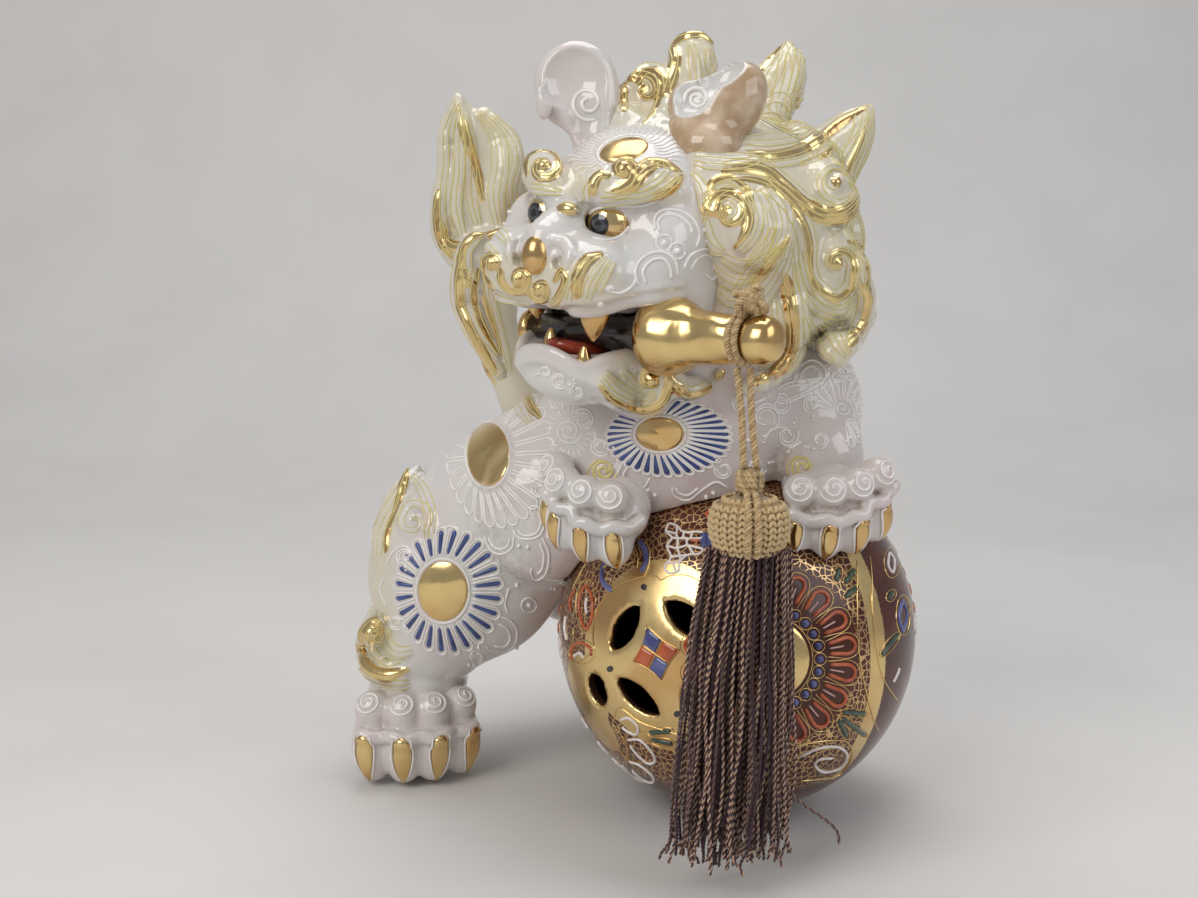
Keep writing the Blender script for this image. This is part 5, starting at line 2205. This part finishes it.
# Place, size, power and colour of each lamp, and the place that they point to
LAMPS = (
    ("window_lamp", (-0.75, -0.95, 0.95), 0.85, 9.0, (1.0, 0.97, 0.93)),
    ("side_lamp", (0.95, -0.55, 0.75), 0.7, 3.0, (0.95, 0.97, 1.0)),
    ("top_lamp", (0.05, 0.15, 1.15), 0.7, 4.2, (1.0, 1.0, 1.0)),
)
LAMPS_TO = (0.0, 0.0, 0.16)


def make_stage():
    """A curved pale sweep, three soft lamps and an even sky."""
    profile = smooth(SWEEP, 60)
    wide = np.linspace(-SWEEP_HALF_WIDTH, SWEEP_HALF_WIDTH, 13)
    spots = np.stack(np.broadcast_arrays(wide, profile[:, :1], profile[:, 1:]), -1)
    index = np.arange(60 * 13).reshape(60, 13)
    quads = np.stack([index[:-1, :-1], index[:-1, 1:], index[1:, 1:], index[1:, :-1]], -1).reshape(-1, 4)
    mesh = mesh_from("sweep", spots.reshape(-1, 3) / MM - (0, 0, 0.05), [quads])
    mesh.materials.append(stage_finish())
    link("sweep", mesh)
    world = bpy.data.worlds.new("soft_room")
    bpy.context.scene.world = world
    world.use_nodes = True
    background = world.node_tree.nodes["Background"]
    background.inputs["Color"].default_value = SKY
    background.inputs["Strength"].default_value = SKY_STRENGTH
    for name, place, size, power, colour in LAMPS:
        data = bpy.data.lights.new(name, "AREA")
        data.size, data.energy, data.color = size, power, colour
        lamp = link(name, data)
        lamp.location = place
        lamp.rotation_euler = (Vector(LAMPS_TO) - Vector(place)).to_track_quat("-Z", "Y").to_euler()
    bpy.context.scene.view_settings.view_transform = "Standard"


# Add-on


class LionColours(bpy.types.PropertyGroup):
    glaze: bpy.props.FloatVectorProperty(
        name="Glaze", description="Colour of the white glaze", size=3, subtype="COLOR", min=0, max=1,
        default=(0.70, 0.685, 0.655))
    yellow_line: bpy.props.FloatVectorProperty(
        name="Pale-yellow lines", description="Colour of the lines painted beside the ribs", size=3,
        subtype="COLOR", min=0, max=1, default=(0.72, 0.62, 0.24))
    ground: bpy.props.FloatVectorProperty(
        name="Ball's ground", description="Colour of the ball under its gold net", size=3, subtype="COLOR",
        min=0, max=1,
        default=(0.095, 0.022, 0.012))


class LionSizes(bpy.types.PropertyGroup):
    cord_diameter: bpy.props.FloatProperty(
        name="Cord diameter", description="Across each hanging strand", default=0.0026, min=0.001,
        unit="LENGTH")
    string_count: bpy.props.IntProperty(
        name="Tassel strings", description="Strings that hang from the knitted head", default=136, min=10,
        max=160)


STRANDS = []


class LION_OT_finishes(bpy.types.Operator):
    """Makes every glaze, enamel, gold and thread finish"""

    bl_idname = "lion.finishes"
    bl_label = "Mix the finishes"

    def execute(self, context):
        mix_finishes(context.scene.lion_colours)
        return {"FINISHED"}


class LION_OT_camera(bpy.types.Operator):
    """Makes the photograph's camera"""

    bl_idname = "lion.camera"
    bl_label = "Place the camera"

    def execute(self, context):
        place_camera()
        return {"FINISHED"}


class LION_OT_cords(bpy.types.Operator):
    """Makes the two hanging strands, the turns round the cap and the knot"""

    bl_idname = "lion.cords"
    bl_label = "Hang the cords"

    def execute(self, context):
        STRANDS[:] = hang_cords(context.scene.lion_sizes)
        loop_and_knot()
        return {"FINISHED"}


class LION_OT_tassel(bpy.types.Operator):
    bl_idname = "lion.tassel"
    bl_label = "Hang the tassel"

    def execute(self, context):
        hung = wrap_and_head()
        declare_cords(STRANDS)
        hang_strings(context.scene.lion_sizes)
        return {"FINISHED"}


class LION_OT_ball(bpy.types.Operator):
    """Makes the pierced ball"""

    bl_idname = "lion.ball"
    bl_label = "Throw the ball"

    def execute(self, context):
        make_ball()
        return {"FINISHED"}


class LION_OT_body(bpy.types.Operator):
    """Makes the torso, legs and tufts"""

    bl_idname = "lion.body"
    bl_label = "Model the body"

    def execute(self, context):
        make_body()
        return {"FINISHED"}


class LION_OT_paws(bpy.types.Operator):
    """Makes the paws, claws and whorls"""

    bl_idname = "lion.paws"
    bl_label = "Model the paws"

    def execute(self, context):
        make_paws()
        return {"FINISHED"}


class LION_OT_tail(bpy.types.Operator):
    """Makes the flame tail"""

    bl_idname = "lion.tail"
    bl_label = "Model the tail"

    def execute(self, context):
        make_tail()
        return {"FINISHED"}


class LION_OT_face(bpy.types.Operator):
    """Makes the face with its brows and lips"""

    bl_idname = "lion.face"
    bl_label = "Model the face"

    def execute(self, context):
        make_face()
        return {"FINISHED"}


class LION_OT_jaw(bpy.types.Operator):
    """Makes the lower jaw and the beard curls"""

    bl_idname = "lion.jaw"
    bl_label = "Model the jaw"

    def execute(self, context):
        make_jaw()
        return {"FINISHED"}


class LION_OT_mane(bpy.types.Operator):
    """Makes the ruff, the locks and the crests"""

    bl_idname = "lion.mane"
    bl_label = "Model the mane"

    def execute(self, context):
        make_mane()
        return {"FINISHED"}


class LION_OT_ears(bpy.types.Operator):
    """Makes both ears"""

    bl_idname = "lion.ears"
    bl_label = "Model the ears"

    def execute(self, context):
        make_ears()
        return {"FINISHED"}


class LION_OT_eyes(bpy.types.Operator):
    """Makes both eyes"""

    bl_idname = "lion.eyes"
    bl_label = "Set the eyes"

    def execute(self, context):
        make_eyes()
        return {"FINISHED"}


class LION_OT_teeth(bpy.types.Operator):
    """Makes the nose, the fangs and the tongue"""

    bl_idname = "lion.teeth"
    bl_label = "Set the nose and teeth"

    def execute(self, context):
        make_nose_and_teeth()
        return {"FINISHED"}


class LION_OT_rod(bpy.types.Operator):
    """Makes the rod and its caps"""

    bl_idname = "lion.rod"
    bl_label = "Turn the rod"

    def execute(self, context):
        make_rod()
        return {"FINISHED"}


class LION_OT_ornament(bpy.types.Operator):
    """Draws the raised slip, enamel and gilding on the body, the face and the ball"""

    bl_idname = "lion.ornament"
    bl_label = "Draw the ornament"

    def execute(self, context):
        ornament_body()
        ornament_face()
        ornament_ball()
        return {"FINISHED"}


class LION_OT_stage(bpy.types.Operator):
    """Makes the floor, the lamps and the sky"""

    bl_idname = "lion.stage"
    bl_label = "Set the stage"

    def execute(self, context):
        make_stage()
        return {"FINISHED"}


STEPS = (
    LION_OT_finishes, LION_OT_camera, LION_OT_cords, LION_OT_tassel, LION_OT_ball, LION_OT_body,
    LION_OT_paws, LION_OT_tail, LION_OT_face, LION_OT_jaw, LION_OT_mane, LION_OT_ears, LION_OT_eyes,
    LION_OT_teeth, LION_OT_rod, LION_OT_ornament, LION_OT_stage,
)


class LION_PT_panel(bpy.types.Panel):
    """Lists the colours, the sizes and the steps."""

    bl_label = "Guardian lion"
    bl_idname = "LION_PT_panel"
    bl_space_type = "VIEW_3D"
    bl_region_type = "UI"
    bl_category = "Guardian lion"

    def draw(self, context):
        layout = self.layout
        for group in (context.scene.lion_colours, context.scene.lion_sizes):
            for name in group.__annotations__:
                layout.prop(group, name)
        for kind in STEPS:
            layout.operator(kind.bl_idname)


CLASSES = (LionColours, LionSizes, *STEPS, LION_PT_panel)


def register():
    for kind in CLASSES:
        bpy.utils.register_class(kind)
    bpy.types.Scene.lion_colours = bpy.props.PointerProperty(type=LionColours)
    bpy.types.Scene.lion_sizes = bpy.props.PointerProperty(type=LionSizes)


def unregister():
    del bpy.types.Scene.lion_colours
    del bpy.types.Scene.lion_sizes
    for kind in reversed(CLASSES):
        bpy.utils.unregister_class(kind)


def main():
    register()
    for kind in STEPS:
        getattr(bpy.ops.lion, kind.bl_idname.split(".")[1])()


if __name__ == "__main__":
    main()
